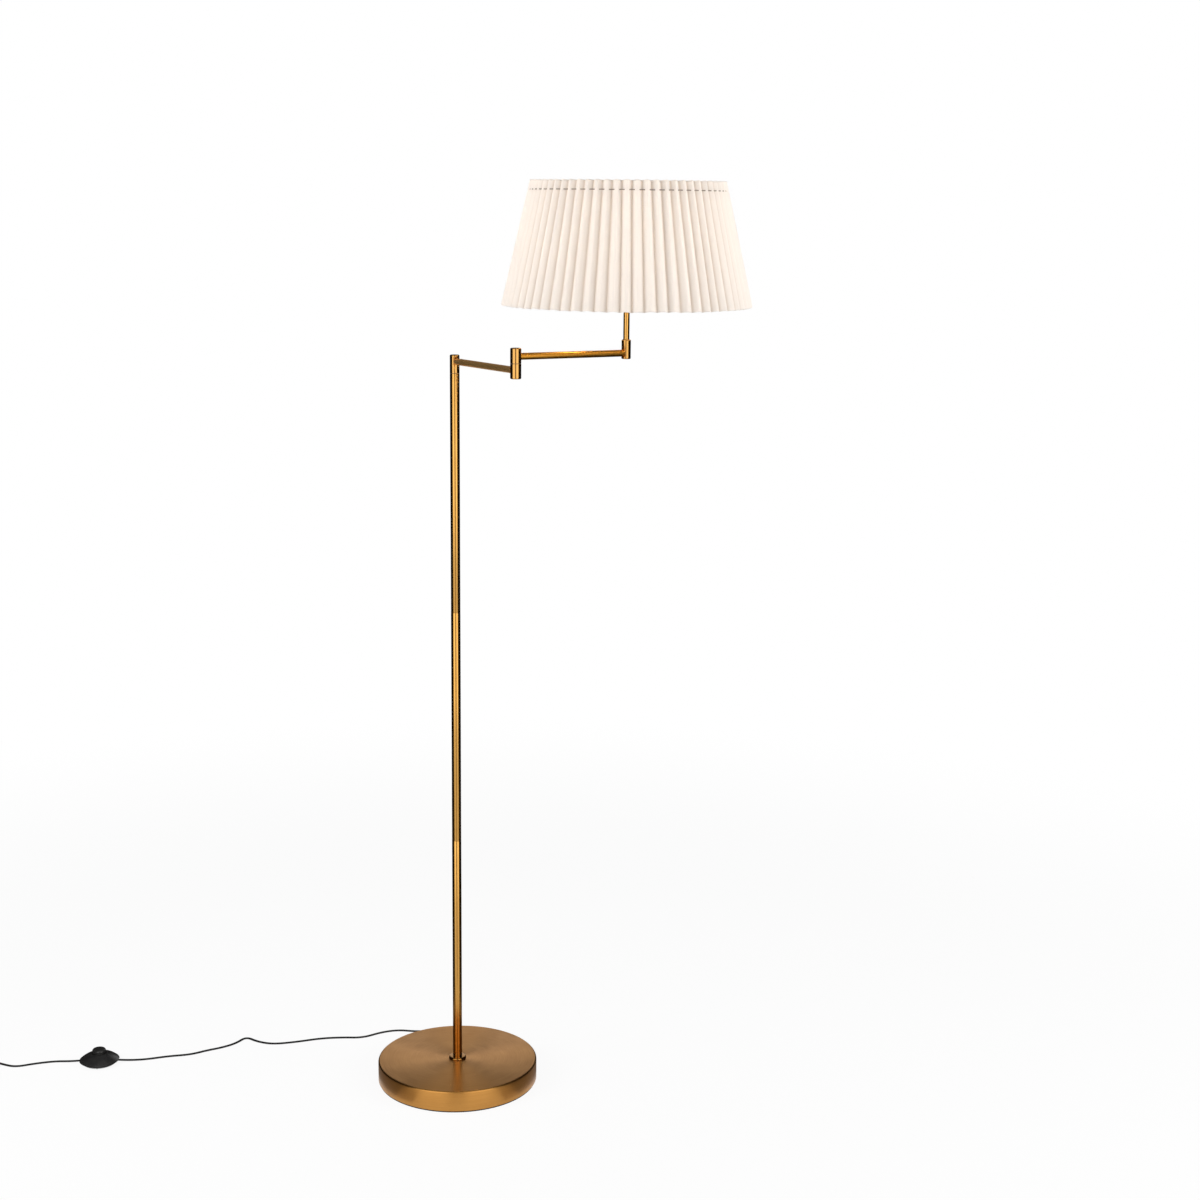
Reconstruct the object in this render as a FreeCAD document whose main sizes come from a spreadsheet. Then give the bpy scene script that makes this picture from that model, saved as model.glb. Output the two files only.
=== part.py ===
import FreeCAD, Part
import math
import os
import Sketcher

# Bridge floor lamp: a weighted round base, a three-part pole, two level swing arms with a knuckle
# between them, and a pleated shade that stands above the free end of the second arm.
# Millimetres and degrees. +Z is up, and the origin is on the floor under the pole's axis.

DRIVING_SIZES = {
    # base
    "base_d": 280,
    "base_height": 38,
    "base_edge": 3,
    "cover_wall": 1.2,
    "pad_thickness": 2.5,
    "pad_inset": 1.5,
    "weight_gap": 2.6,
    "weight_thickness": 18,
    "boss_d": 48,
    "boss_foot_d": 72,
    "recess_d": 44,
    "recess_depth": 22,
    "channel_width": 9.6,
    # hollow threaded rod and its fasteners
    "nipple_d": 10,
    "nipple_bore": 7,
    "nipple_tail": 1,
    "nipple_grip": 16,
    "hole_clearance": 0.3,
    "washer_d": 36,
    "washer_thickness": 2.5,
    "nut_width": 17,
    "nut_height": 6,
    # pole
    "pole_d": 16,
    "pole_wall": 1,
    "pole_sections": 3,
    "section_length": 404,
    "tube_chamfer": 0.3,
    "foot_height": 20,
    "coupler_length": 44,
    "coupler_bore": 8,
    "bush_height": 24,
    "collar_d": 30,
    "collar_height": 4,
    "collar_edge": 1.4,
    # fits
    "thread_gap": 0.02,
    "slip_gap": 0.04,
    "running_gap": 0.08,
    "seat_gap": 0.3,
    # swivel on the pole
    "swivel_washer": 0.5,
    "head_d": 16,
    "head_height": 30.2,
    "head_edge": 1.6,
    "head_thread": 12,
    "drill_relief": 1,
    "lock_nut_d": 12.6,
    "lock_nut_height": 3.4,
    "spindle_tail": 1.2,
    # arms
    "arm_d": 11,
    "arm_wall": 1,
    "arm_length": 200,
    "arm_rise": 19.2,
    "arm_seat": 5,
    "arm_1_angle": 298.55,
    "arm_2_angle": 25.2,
    # elbow
    "knuckle_d": 17.5,
    "knuckle_height": 24,
    "knuckle_edge": 1.8,
    "seam_distance": 10.6,
    "friction_washer": 0.6,
    "cavity_d": 13.5,
    "cavity_roof": 5,
    "knuckle_cap": 3,
    "spindle_thread": 4.6,
    # end knuckle and stem
    "end_d": 15,
    "end_height": 31.2,
    "end_drop": 9.5,
    "end_edge": 1.6,
    "stem_d": 10,
    "stem_wall": 1,
    "stem_seat": 11.7,
    # lamp holder
    "holder_drop": 32.5,
    "holder_neck_d": 16,
    "holder_neck_height": 6,
    "holder_cap_height": 19,
    "holder_thread": 9,
    "holder_d": 39.5,
    "holder_bore": 28.4,
    "holder_sleeve_height": 36,
    "holder_wall": 2,
    "insert_height": 10,
    "contact_rise": 2,
    "shade_ring_d": 56,
    "shade_ring_height": 6,
    "shade_ring_flange": 2,
    # bulb
    "bulb_d": 60,
    "bulb_length": 110,
    "bulb_neck_d": 27.6,
    "bulb_cap_d": 26.4,
    "bulb_cap_height": 25,
    "insulator_d": 16,
    "bulb_wall": 0.8,
    # shade
    "shade_lift": 53.3,
    "shade_height": 198,
    "shade_bottom_d": 404,
    "shade_top_d": 313,
    "pleat_count": 64,
    "pleat_depth": 6.5,
    "fabric_thickness": 0.8,
    "hem_height": 3.5,
    "heading_height": 15,
    "ring_wire": 3,
    "upright_wire": 2.5,
    "uprights": 6,
    "upright_turn": 45,
    "gallery_rise": 30,
    "gallery_d": 64,
    "gallery_bore": 40.6,
    "gallery_plate": 1.2,
    "gallery_arms": 3,
    "gallery_turn": 90,
    "gallery_lap": 1,
    # leads inside the tubes
    "lead_d": 3.2,
    "lead_bend": 8,
    # flat cord
    "cord_width": 5,
    "cord_thickness": 2.5,
    "exit_height": 7.2,
    "grommet_neck_d": 7,
    "grommet_flange_d": 9.2,
    "grommet_flange": 1.6,
    "grommet_root_d": 10,
    "grommet_tip_d": 6.4,
    "grommet_tail": 26,
    # foot switch
    "switch_x": -644,
    "switch_y": 93.5,
    "switch_d": 70.5,
    "switch_foot_d": 56,
    "switch_seam": 6.5,
    "switch_wall": 2,
    "switch_feet_height": 0.8,
    "switch_foot_pad_d": 9,
    "switch_foot_pad_inset": 1,
    "switch_foot_pad_turn": 30,
    "dome_height": 14.2,
    "switch_cord_height": 5.4,
    "switch_cord_play": 0.9,
    "button_d": 24,
    "button_top": 27,
    "button_edge": 3.2,
    "button_travel": 3.5,
    "button_gap": 0.4,
    "button_flange": 1.6,
    "button_flange_reach": 1.8,
    "block_length": 30,
    "block_width": 20,
    "block_height": 6.4,
    "plunger_d": 6,
    "spring_d": 11,
    "spring_wire": 0.9,
    "spring_turns": 5,
    "screw_circle_d": 46,
    "screw_d": 2.9,
    "screw_head_d": 5.4,
    "screw_head_height": 1.2,
    "screw_length": 9,
    "screw_count": 3,
    "screw_post_d": 6.4,
    # coil of put-away cord
    "coil_x": -867,
    "coil_y": 90,
    "coil_inner_d": 45,
    "coil_outer_d": 65,
    "coil_height": 10,
    "tie_thickness": 1,
    "tie_angle": 16,
    "tie_turn": 300,
    # plug
    "plug_x": -900,
    "plug_y": 25,
    "plug_width": 35.3,
    "plug_rear_width": 18,
    "plug_shoulder": 14,
    "plug_length": 38,
    "plug_thickness": 13.7,
    "plug_corner": 4,
    "plug_edge": 2.4,
    "plug_sleeve_d": 8,
    "plug_sleeve": 18,
    "pin_d": 4,
    "pin_length": 19,
    "pin_spacing": 19,
}

# The cord's routes, from the grommet to the foot switch, and on to the coil and the plug. The
# points are chosen by hand, and the heights are those of the middle of the flat cord.
CORD_TO_SWITCH = (
    (0.0, 166.0, 7.2), (0.0, 174.0, 7.2), (-4.0, 192.0, 2.4), (-20.0, 203.0, 1.25), (-46.0, 201.0, 1.25),
    (-78.0, 199.0, 1.25), (-110.0, 207.5, 1.25), (-142.0, 199.0, 1.25), (-176.0, 175.5, 1.25),
    (-213.0, 179.0, 1.25), (-254.0, 176.5, 1.25), (-297.0, 163.0, 1.25), (-340.0, 155.0, 1.25),
    (-370.0, 168.0, 1.25), (-392.0, 190.0, 1.25), (-408.0, 162.0, 1.25), (-432.0, 144.5, 1.25),
    (-457.0, 134.0, 1.25), (-485.0, 117.0, 1.25), (-524.0, 112.0, 1.25), (-562.0, 100.5, 1.25),
    (-592.0, 95.5, 2.6), (-620.0, 93.5, 5.4),
)
CORD_TO_COIL = (
    (-668.0, 93.5, 5.4), (-696.0, 95.5, 2.8), (-724.0, 100.5, 1.25), (-758.0, 92.5, 1.25),
    (-790.0, 80.0, 1.25), (-814.0, 91.5, 1.25), (-838.5, 108.6, 3.5),
)
CORD_TO_PLUG = (
    (-898.5, 90.0, 8.5), (-900.0, 67.0, 7.8), (-900.0, 43.0, 6.85),
)
ARC_SHARE = 0.45

doc = FreeCAD.newDocument("bridge_floor_lamp")
sheet = doc.addObject("Spreadsheet::Sheet", "Sizes")


class Size:
    """A length or angle worked out from the sheet: its formula's text, and its present value."""

    def __init__(self, text, value):
        self.text = text
        self.value = value

    def __add__(self, other):
        return joined("+", self, other, self.value + value_of(other))

    def __radd__(self, other):
        return joined("+", other, self, value_of(other) + self.value)

    def __sub__(self, other):
        return joined("-", self, other, self.value - value_of(other))

    def __rsub__(self, other):
        return joined("-", other, self, value_of(other) - self.value)

    def __mul__(self, other):
        return joined("*", self, other, self.value * value_of(other))

    def __rmul__(self, other):
        return joined("*", other, self, value_of(other) * self.value)

    def __truediv__(self, other):
        return joined("/", self, other, self.value / value_of(other))

    def __rtruediv__(self, other):
        return joined("/", other, self, value_of(other) / self.value)


def joined(sign, left, right, value):
    return Size(f"({text_of(left)} {sign} {text_of(right)})", value)


def text_of(size):
    return size.text if isinstance(size, Size) else repr(size)


def value_of(size):
    return size.value if isinstance(size, Size) else size


def cosine(angle):
    return Size(f"cos({angle.text})", math.cos(math.radians(angle.value)))


def sine(angle):
    return Size(f"sin({angle.text})", math.sin(math.radians(angle.value)))


def root(size):
    return Size(f"sqrt({size.text})", math.sqrt(size.value))


class Sizes:
    """The driving sizes, each by its name in the sheet."""


s = Sizes()
for row, (name, number) in enumerate(DRIVING_SIZES.items(), start=1):
    sheet.set(f"A{row}", name)
    sheet.set(f"B{row}", str(number))
    sheet.setAlias(f"B{row}", name)
    setattr(s, name, Size(f"Sizes.{name}", number))
doc.recompute()


def bind(item, path, size):
    """Sets a property and ties it to the sheet."""
    if isinstance(size, Size):
        item.setExpression(path, size.text)


def place(item, x=0, y=0, z=0, turn=0, lean=None):
    """Puts a piece at a place, turned about the vertical, or leant by a fixed rotation."""
    rotation = lean or FreeCAD.Rotation(FreeCAD.Vector(0, 0, 1), value_of(turn))
    item.Placement = FreeCAD.Placement(FreeCAD.Vector(value_of(x), value_of(y), value_of(z)), rotation)
    bind(item, "Placement.Base.x", x)
    bind(item, "Placement.Base.y", y)
    bind(item, "Placement.Base.z", z)
    bind(item, "Placement.Rotation.Angle", turn)
    return item


def new_body(label):
    body = doc.addObject("PartDesign::Body", label)
    body.Label = label
    return body


def new_sketch(body, name, plane):
    sketch = body.newObject("Sketcher::SketchObject", name)
    origin_plane = next(item for item in body.Origin.OriginFeatures if item.Role == plane)
    sketch.AttachmentSupport = [(origin_plane, "")]
    sketch.MapMode = "FlatFace"
    return sketch


def pin_point(sketch, geometry, end, across, up):
    """Holds one sketch point at its distances from the origin."""
    for axis, kind, size in ((-2, "DistanceX", across), (-1, "DistanceY", up)):
        if value_of(size) == 0:
            sketch.addConstraint(Sketcher.Constraint("PointOnObject", geometry, end, axis))
            continue
        count = sketch.addConstraint(Sketcher.Constraint(kind, -1, 1, geometry, end, value_of(size)))
        bind(sketch, f"Constraints[{count}]", size)


def via(across, up):
    """Marks a point that an arc passes through on its way to the next corner."""
    return ("via", across, up)


def arc_through(start, middle, end):
    """An arc that runs anticlockwise through three points."""
    arc = Part.Arc(start, middle, end).toShape().Curve
    circle = Part.Circle(arc.Center, FreeCAD.Vector(0, 0, 1), arc.Radius)
    return Part.ArcOfCircle(circle, circle.parameter(start), circle.parameter(end))


def draw_outline(sketch, outline):
    """Draws a closed outline of straight runs and arcs, every point held by its distances."""
    corners = [item for item in outline if item[0] != "via"]
    passing = {}
    count = -1
    for item in outline:
        if item[0] == "via":
            passing[count] = item[1:]
        else:
            count += 1
    vectors = [FreeCAD.Vector(value_of(across), value_of(up), 0) for across, up in corners]
    first = sketch.GeometryCount
    arc_ends = {}
    for index, start in enumerate(vectors):
        end = vectors[(index + 1) % len(vectors)]
        arc_ends[index] = (1, 2)
        if index in passing:
            middle = FreeCAD.Vector(value_of(passing[index][0]), value_of(passing[index][1]), 0)
            if (middle - start).cross(end - middle).z < 0:
                arc_ends[index] = (2, 1)
                start, end = end, start
            sketch.addGeometry(arc_through(start, middle, end), False)
        else:
            sketch.addGeometry(Part.LineSegment(start, end), False)
    for index in range(len(corners)):
        after = (index + 1) % len(corners)
        sketch.addConstraint(Sketcher.Constraint(
            "Coincident", first + index, arc_ends[index][1], first + after, arc_ends[after][0]))
    for index, (across, up) in enumerate(corners):
        pin_point(sketch, first + index, arc_ends[index][0], across, up)
    for index, (across, up) in passing.items():
        mark = sketch.addGeometry(Part.Point(FreeCAD.Vector(value_of(across), value_of(up), 0)), True)
        pin_point(sketch, mark, 1, across, up)
        sketch.addConstraint(Sketcher.Constraint("PointOnObject", mark, 1, first + index))


def turn_outline(body, outline, angle=360, name="section"):
    """Turns an outline, drawn as radius and height, about the body's own upright axis."""
    sketch = new_sketch(body, name, "XZ_Plane")
    draw_outline(sketch, outline)
    turned = body.newObject("PartDesign::Revolution", "turned_" + name)
    turned.Profile = sketch
    turned.ReferenceAxis = (sketch, ["V_Axis"])
    turned.Angle = value_of(angle)
    bind(turned, "Angle", angle)
    body.Tip = turned
    doc.recompute()
    return turned


def turned_body(label, outline, angle=360):
    body = new_body(label)
    turn_outline(body, outline, angle)
    return body


def ring_outline(inner_d, outer_d, height, low=0):
    high = low + height
    return [(inner_d / 2, low), (outer_d / 2, low), (outer_d / 2, high), (inner_d / 2, high)]


def rod_outline(outer_d, height):
    return [(0, 0), (outer_d / 2, 0), (outer_d / 2, height), (0, height)]


def pad_body(label, plane, length, outlines=(), circles=()):
    """Pads a sketch of closed outlines and circles about the origin."""
    body = new_body(label)
    sketch = new_sketch(body, "face", plane)
    for outline in outlines:
        draw_outline(sketch, outline)
    for diameter in circles:
        circle = Part.Circle(FreeCAD.Vector(0, 0, 0), FreeCAD.Vector(0, 0, 1), value_of(diameter) / 2)
        round_edge = sketch.addGeometry(circle, False)
        sketch.addConstraint(Sketcher.Constraint("Coincident", round_edge, 3, -1, 1))
        count = sketch.addConstraint(Sketcher.Constraint("Diameter", round_edge, value_of(diameter)))
        bind(sketch, f"Constraints[{count}]", diameter)
    pad = body.newObject("PartDesign::Pad", "pad")
    pad.Profile = sketch
    pad.Length = value_of(length)
    bind(pad, "Length", length)
    body.Tip = pad
    doc.recompute()
    return body


def tube_body(label, outer_d, wall, length, plane="XY_Plane"):
    return pad_body(label, plane, length, circles=(outer_d, outer_d - 2 * wall))


ALONG_X = FreeCAD.Rotation(FreeCAD.Vector(0, 1, 0), 90)
ALONG_Y = FreeCAD.Rotation(FreeCAD.Vector(1, 0, 0), -90)
UPRIGHT = FreeCAD.Rotation()


def bore(body, name, diameter, length, x=0, y=0, z=0, way=UPRIGHT, kind="Subtractive"):
    """Drills a round hole from a point, along the given way."""
    drill = body.newObject(f"PartDesign::{kind}Cylinder", name)
    drill.Radius = value_of(diameter) / 2
    drill.Height = value_of(length)
    bind(drill, "Radius", diameter / 2)
    bind(drill, "Height", length)
    place(drill, x, y, z, lean=way)
    body.Tip = drill
    doc.recompute()
    return drill


def boss(body, name, diameter, length, y=0, z=0):
    """Adds an upright round boss from a point."""
    return bore(body, name, diameter, length, y=y, z=z, kind="Additive")


def repeat_round(body, features, count):
    """Repeats features at equal steps round the body's own upright axis."""
    pattern = body.newObject("PartDesign::PolarPattern", features[0].Name + "_round")
    pattern.Originals = features
    pattern.Axis = (next(item for item in body.Origin.OriginFeatures if item.Role == "Z_Axis"), [""])
    pattern.Angle = 360
    pattern.Occurrences = value_of(count)
    bind(pattern, "Occurrences", count)
    body.Tip = pattern
    doc.recompute()


def slot_box(body, name, length, width, height, x, y, z):
    """Mills a box-shaped slot, placed by its lowest corner."""
    cutter = body.newObject("PartDesign::SubtractiveBox", name)
    for side, size in (("Length", length), ("Width", width), ("Height", height)):
        setattr(cutter, side, value_of(size))
        bind(cutter, side, size)
    place(cutter, x, y, z, lean=UPRIGHT)
    body.Tip = cutter
    doc.recompute()
    return cutter


def rim_names(shape, rims, near=0.02):
    """Finds the round edges about the body's axis that have the given radii and heights."""
    names = []
    for count, edge in enumerate(shape.Edges, start=1):
        curve = edge.Curve
        if not isinstance(curve, Part.Circle) or math.hypot(curve.Center.x, curve.Center.y) > near:
            continue
        for radius, height in rims:
            fits = abs(curve.Radius - value_of(radius)) < near
            if fits and abs(curve.Center.z - value_of(height)) < near:
                names.append(f"Edge{count}")
    return names


def soften(body, kind, size, rims):
    """Rounds or chamfers the round edges that stand at the given radii and heights."""
    base = body.Tip
    edges = rim_names(base.Shape, rims)
    if len(edges) < len(rims):
        raise ValueError(f"{body.Label}: an edge to soften was not found")
    softened = body.newObject("PartDesign::" + kind, "soft_" + kind)
    softened.Base = (base, edges)
    path = "Radius" if kind == "Fillet" else "Size"
    setattr(softened, path, value_of(size))
    bind(softened, path, size)
    body.Tip = softened
    doc.recompute()
    return softened


def shaped(label, shape):
    """Adds a piece whose shape is worked out here from the sheet's present sizes."""
    item = doc.addObject("Part::Feature", label)
    item.Label = label
    item.Shape = shape
    return item


# ---------------------------------------------------------------- base
cover_top = s.base_height - s.pad_thickness
cover_inner_d = s.base_d - 2 * s.cover_wall
nipple_hole_d = s.nipple_d + 2 * s.hole_clearance
weight_d = cover_inner_d - 2 * s.weight_gap
weight_height = cover_top - s.cover_wall
exit_rise = s.exit_height - s.pad_thickness


def base_pad():
    """Black foam disc that the lamp stands on."""
    return pad_body("base_pad", "XY_Plane", s.pad_thickness, circles=(s.base_d - 2 * s.pad_inset,))


def base_cover():
    """Spun metal cover: a flat top, a rolled edge and a straight side, open underneath."""
    body = turned_body("base_cover", [
        (cover_inner_d / 2, 0), (s.base_d / 2, 0), (s.base_d / 2, cover_top),
        (nipple_hole_d / 2, cover_top), (nipple_hole_d / 2, weight_height),
        (cover_inner_d / 2, weight_height)])
    soften(body, "Fillet", s.base_edge, [(s.base_d / 2, cover_top)])
    soften(body, "Fillet", s.base_edge - s.cover_wall, [(cover_inner_d / 2, weight_height)])
    notch_d = s.grommet_neck_d + 2 * s.slip_gap
    notch_length = 4 * s.cover_wall
    notch_y = s.base_d / 2 - 3 * s.cover_wall
    slot_box(body, "cord_notch", notch_d, notch_length, exit_rise, notch_d * -0.5, notch_y, 0)
    bore(body, "cord_hole", notch_d, notch_length, y=notch_y, z=exit_rise, way=ALONG_Y)
    return place(body, z=s.pad_thickness)


def base_weight():
    """Cast iron weight: a thick disc, and a boss that carries the cover and the pole."""
    body = turned_body("base_weight", [
        (nipple_hole_d / 2, s.recess_depth), (s.recess_d / 2, s.recess_depth), (s.recess_d / 2, 0),
        (weight_d / 2, 0), (weight_d / 2, s.weight_thickness), (s.boss_foot_d / 2, s.weight_thickness),
        (s.boss_d / 2, weight_height), (nipple_hole_d / 2, weight_height)])
    slot_box(body, "cord_channel", s.channel_width, s.base_d / 2, s.channel_width,
             s.channel_width * -0.5, 0, 0)
    return place(body, z=s.pad_thickness)


washer_bottom = s.pad_thickness + s.recess_depth - s.washer_thickness
nut_bottom = washer_bottom - s.nut_height
nipple_bottom = nut_bottom - s.nipple_tail


def base_washer():
    outline = ring_outline(nipple_hole_d, s.washer_d, s.washer_thickness)
    return place(turned_body("base_washer", outline), z=washer_bottom)


def base_nut():
    """Hexagon nut under the weight."""
    corner = s.nut_width / (2 * math.cos(math.radians(30)))
    half = s.nut_width / 2
    hexagon = [(corner, 0), (corner / 2, half), (corner * -0.5, half), (corner * -1, 0),
               (corner * -0.5, half * -1), (corner / 2, half * -1)]
    bore_d = s.nipple_d + 2 * s.thread_gap
    body = pad_body("base_nut", "XY_Plane", s.nut_height, outlines=(hexagon,), circles=(bore_d,))
    return place(body, z=nut_bottom)


def base_nipple():
    """Hollow threaded rod that clamps the cover and the weight under the pole."""
    length = s.base_height + s.nipple_grip - nipple_bottom
    body = tube_body("base_nipple", s.nipple_d, (s.nipple_d - s.nipple_bore) / 2, length)
    return place(body, z=nipple_bottom)


def cord_grommet():
    """Rubber bush in the cover's side, with a tapered tail that keeps the cord from kinking."""
    root = s.grommet_flange + s.cover_wall + 2 * s.slip_gap
    lip = s.grommet_flange
    body = turned_body("cord_grommet", [
        (0, 0), (s.grommet_flange_d / 2, 0), (s.grommet_flange_d / 2, s.grommet_flange),
        (s.grommet_neck_d / 2, s.grommet_flange), (s.grommet_neck_d / 2, root),
        (s.grommet_root_d / 2, root), (s.grommet_root_d / 2, root + lip),
        (s.grommet_tip_d / 2, root + s.grommet_tail), (0, root + s.grommet_tail)])
    start = s.base_d / 2 - s.cover_wall - s.slip_gap - s.grommet_flange
    return place(body, y=start, z=s.exit_height, lean=ALONG_Y)


# ---------------------------------------------------------------- pole
pole_inner_d = s.pole_d - 2 * s.pole_wall
plug_fit_d = pole_inner_d - 2 * s.slip_gap
pole_top = s.base_height + s.pole_sections * s.section_length


def pole_collar():
    """Turned ring that hides the foot of the pole."""
    outline = ring_outline(s.pole_d + 2 * s.slip_gap, s.collar_d, s.collar_height)
    body = turned_body("pole_collar", outline)
    soften(body, "Fillet", s.collar_edge, [(s.collar_d / 2, s.collar_height)])
    return place(body, z=s.base_height)


def pole_foot():
    """Threaded plug brazed into the lower tube, which the nipple screws into."""
    outline = ring_outline(s.nipple_d + 2 * s.thread_gap, plug_fit_d, s.foot_height)
    return place(turned_body("pole_foot", outline), z=s.base_height)


def pole_tube(label, count):
    """One of the equal tubes of the pole, with a fine chamfer at each end."""
    body = tube_body(label, s.pole_d, s.pole_wall, s.section_length)
    rims = [(s.pole_d / 2, 0), (s.pole_d / 2, s.section_length)]
    soften(body, "Chamfer", s.tube_chamfer, rims)
    return place(body, z=s.base_height + count * s.section_length)


def pole_couplers():
    """Threaded spigots that join the tubes, one inside each joint."""
    outline = ring_outline(s.coupler_bore, plug_fit_d, s.coupler_length)
    body = turned_body("pole_coupler_lower", outline)
    place(body, z=s.base_height + s.section_length - s.coupler_length / 2)
    twin = turned_body("pole_coupler_upper", outline)
    place(twin, z=s.base_height + 2 * s.section_length - s.coupler_length / 2)
    return body, twin


def pole_bush():
    """Bearing bush in the top of the pole."""
    outline = ring_outline(s.nipple_d + 2 * s.running_gap, plug_fit_d, s.bush_height)
    return place(turned_body("pole_bush", outline), z=pole_top - s.bush_height)


# ---------------------------------------------------------------- swivel on the pole
head_bottom = pole_top + s.swivel_washer
arm_1_z = head_bottom + s.arm_rise
head_seat = s.head_d / 2 - s.arm_seat
arm_hole_d = s.arm_d + 2 * s.slip_gap
lock_nut_bore = s.nipple_d + 2 * s.thread_gap
spindle_wall = (s.nipple_d - s.nipple_bore) / 2


def swivel_washer():
    outline = ring_outline(nipple_hole_d, s.head_d, s.swivel_washer)
    return place(turned_body("swivel_washer", outline), z=pole_top)


def swivel_head():
    """Turned head on top of the pole, drilled from below for the spindle and across for the arm."""
    body = turned_body("swivel_head", rod_outline(s.head_d, s.head_height))
    soften(body, "Fillet", s.head_edge, [(s.head_d / 2, s.head_height)])
    bore(body, "spindle_hole", lock_nut_bore, s.head_thread + s.drill_relief)
    bore(body, "lead_hole", s.coupler_bore, s.arm_rise + s.coupler_bore / 2)
    bore(body, "arm_hole", arm_hole_d, s.head_d, x=head_seat, z=s.arm_rise, way=ALONG_X)
    return place(body, z=head_bottom, turn=s.arm_1_angle)


swivel_nut_bottom = pole_top - s.bush_height - s.thread_gap - s.lock_nut_height
swivel_spindle_bottom = swivel_nut_bottom - s.spindle_tail


def swivel_spindle():
    length = head_bottom + s.head_thread - swivel_spindle_bottom
    return place(tube_body("swivel_spindle", s.nipple_d, spindle_wall, length), z=swivel_spindle_bottom)


def swivel_nut():
    """Round lock nut below the bush, which sets the swivel's friction."""
    outline = ring_outline(lock_nut_bore, s.lock_nut_d, s.lock_nut_height)
    return place(turned_body("swivel_nut", outline), z=swivel_nut_bottom)


# ---------------------------------------------------------------- first arm and lower knuckle
elbow_x = s.arm_length * cosine(s.arm_1_angle)
elbow_y = s.arm_length * sine(s.arm_1_angle)
lower_top = arm_1_z + s.seam_distance
lower_bottom = lower_top - s.knuckle_height
cavity_seat = s.cavity_d / 2 + s.seat_gap / 2


def arm_1_tube():
    length = s.arm_length - head_seat - cavity_seat
    body = tube_body("arm_1_tube", s.arm_d, s.arm_wall, length, "YZ_Plane")
    x = head_seat * cosine(s.arm_1_angle)
    y = head_seat * sine(s.arm_1_angle)
    return place(body, x, y, arm_1_z, s.arm_1_angle)


def lower_knuckle():
    """Hollow knuckle at the end of the first arm, open underneath so its nut can be reached."""
    roof = s.knuckle_height - s.cavity_roof
    pivot_d = s.nipple_d + 2 * s.running_gap
    body = turned_body("lower_knuckle", [
        (s.cavity_d / 2, 0), (s.knuckle_d / 2, 0), (s.knuckle_d / 2, s.knuckle_height),
        (pivot_d / 2, s.knuckle_height), (pivot_d / 2, roof), (s.cavity_d / 2, roof)])
    soften(body, "Fillet", s.knuckle_edge, [(s.knuckle_d / 2, 0)])
    soften(body, "Chamfer", s.tube_chamfer, [(s.knuckle_d / 2, s.knuckle_height)])
    bore(body, "arm_hole", arm_hole_d, s.knuckle_d, x=s.knuckle_d * -1, z=arm_1_z - lower_bottom, way=ALONG_X)
    return place(body, elbow_x, elbow_y, lower_bottom, s.arm_1_angle)


def lower_knuckle_cap():
    """Disc that closes the lower knuckle from below."""
    body = turned_body("lower_knuckle_cap", rod_outline(s.cavity_d - 2 * s.slip_gap, s.knuckle_cap))
    return place(body, elbow_x, elbow_y, lower_bottom)


# ---------------------------------------------------------------- elbow pivot and second arm
upper_bottom = lower_top + s.friction_washer
arm_2_z = upper_bottom + s.seam_distance
end_x = elbow_x + s.arm_length * cosine(s.arm_2_angle)
end_y = elbow_y + s.arm_length * sine(s.arm_2_angle)
elbow_nut_bottom = lower_top - s.cavity_roof - s.thread_gap - s.lock_nut_height
elbow_spindle_bottom = elbow_nut_bottom - s.spindle_tail
upper_seat = s.knuckle_d / 2 - s.arm_seat
end_seat = s.end_d / 2 - s.arm_seat


def elbow_washer():
    face_d = s.knuckle_d - 2 * s.tube_chamfer
    outline = ring_outline(nipple_hole_d, face_d, s.friction_washer)
    return place(turned_body("elbow_washer", outline), elbow_x, elbow_y, lower_top)


def elbow_spindle():
    length = upper_bottom + s.spindle_thread - elbow_spindle_bottom
    body = tube_body("elbow_spindle", s.nipple_d, spindle_wall, length)
    return place(body, elbow_x, elbow_y, elbow_spindle_bottom)


def elbow_nut():
    outline = ring_outline(lock_nut_bore, s.lock_nut_d, s.lock_nut_height)
    return place(turned_body("elbow_nut", outline), elbow_x, elbow_y, elbow_nut_bottom)


def upper_knuckle():
    """Knuckle that turns on the lower one and carries the second arm."""
    body = turned_body("upper_knuckle", rod_outline(s.knuckle_d, s.knuckle_height))
    soften(body, "Fillet", s.knuckle_edge, [(s.knuckle_d / 2, s.knuckle_height)])
    soften(body, "Chamfer", s.tube_chamfer, [(s.knuckle_d / 2, 0)])
    bore(body, "spindle_hole", lock_nut_bore, s.spindle_thread + s.slip_gap)
    bore(body, "lead_hole", s.coupler_bore, s.seam_distance + s.coupler_bore / 2)
    bore(body, "arm_hole", arm_hole_d, s.knuckle_d, x=upper_seat, z=s.seam_distance, way=ALONG_X)
    return place(body, elbow_x, elbow_y, upper_bottom, s.arm_2_angle)


def arm_2_tube():
    length = s.arm_length - upper_seat - end_seat
    body = tube_body("arm_2_tube", s.arm_d, s.arm_wall, length, "YZ_Plane")
    x = elbow_x + upper_seat * cosine(s.arm_2_angle)
    y = elbow_y + upper_seat * sine(s.arm_2_angle)
    return place(body, x, y, arm_2_z, s.arm_2_angle)


# ---------------------------------------------------------------- end knuckle and stem
end_bottom = arm_2_z - s.end_drop
end_top = end_bottom + s.end_height


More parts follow.
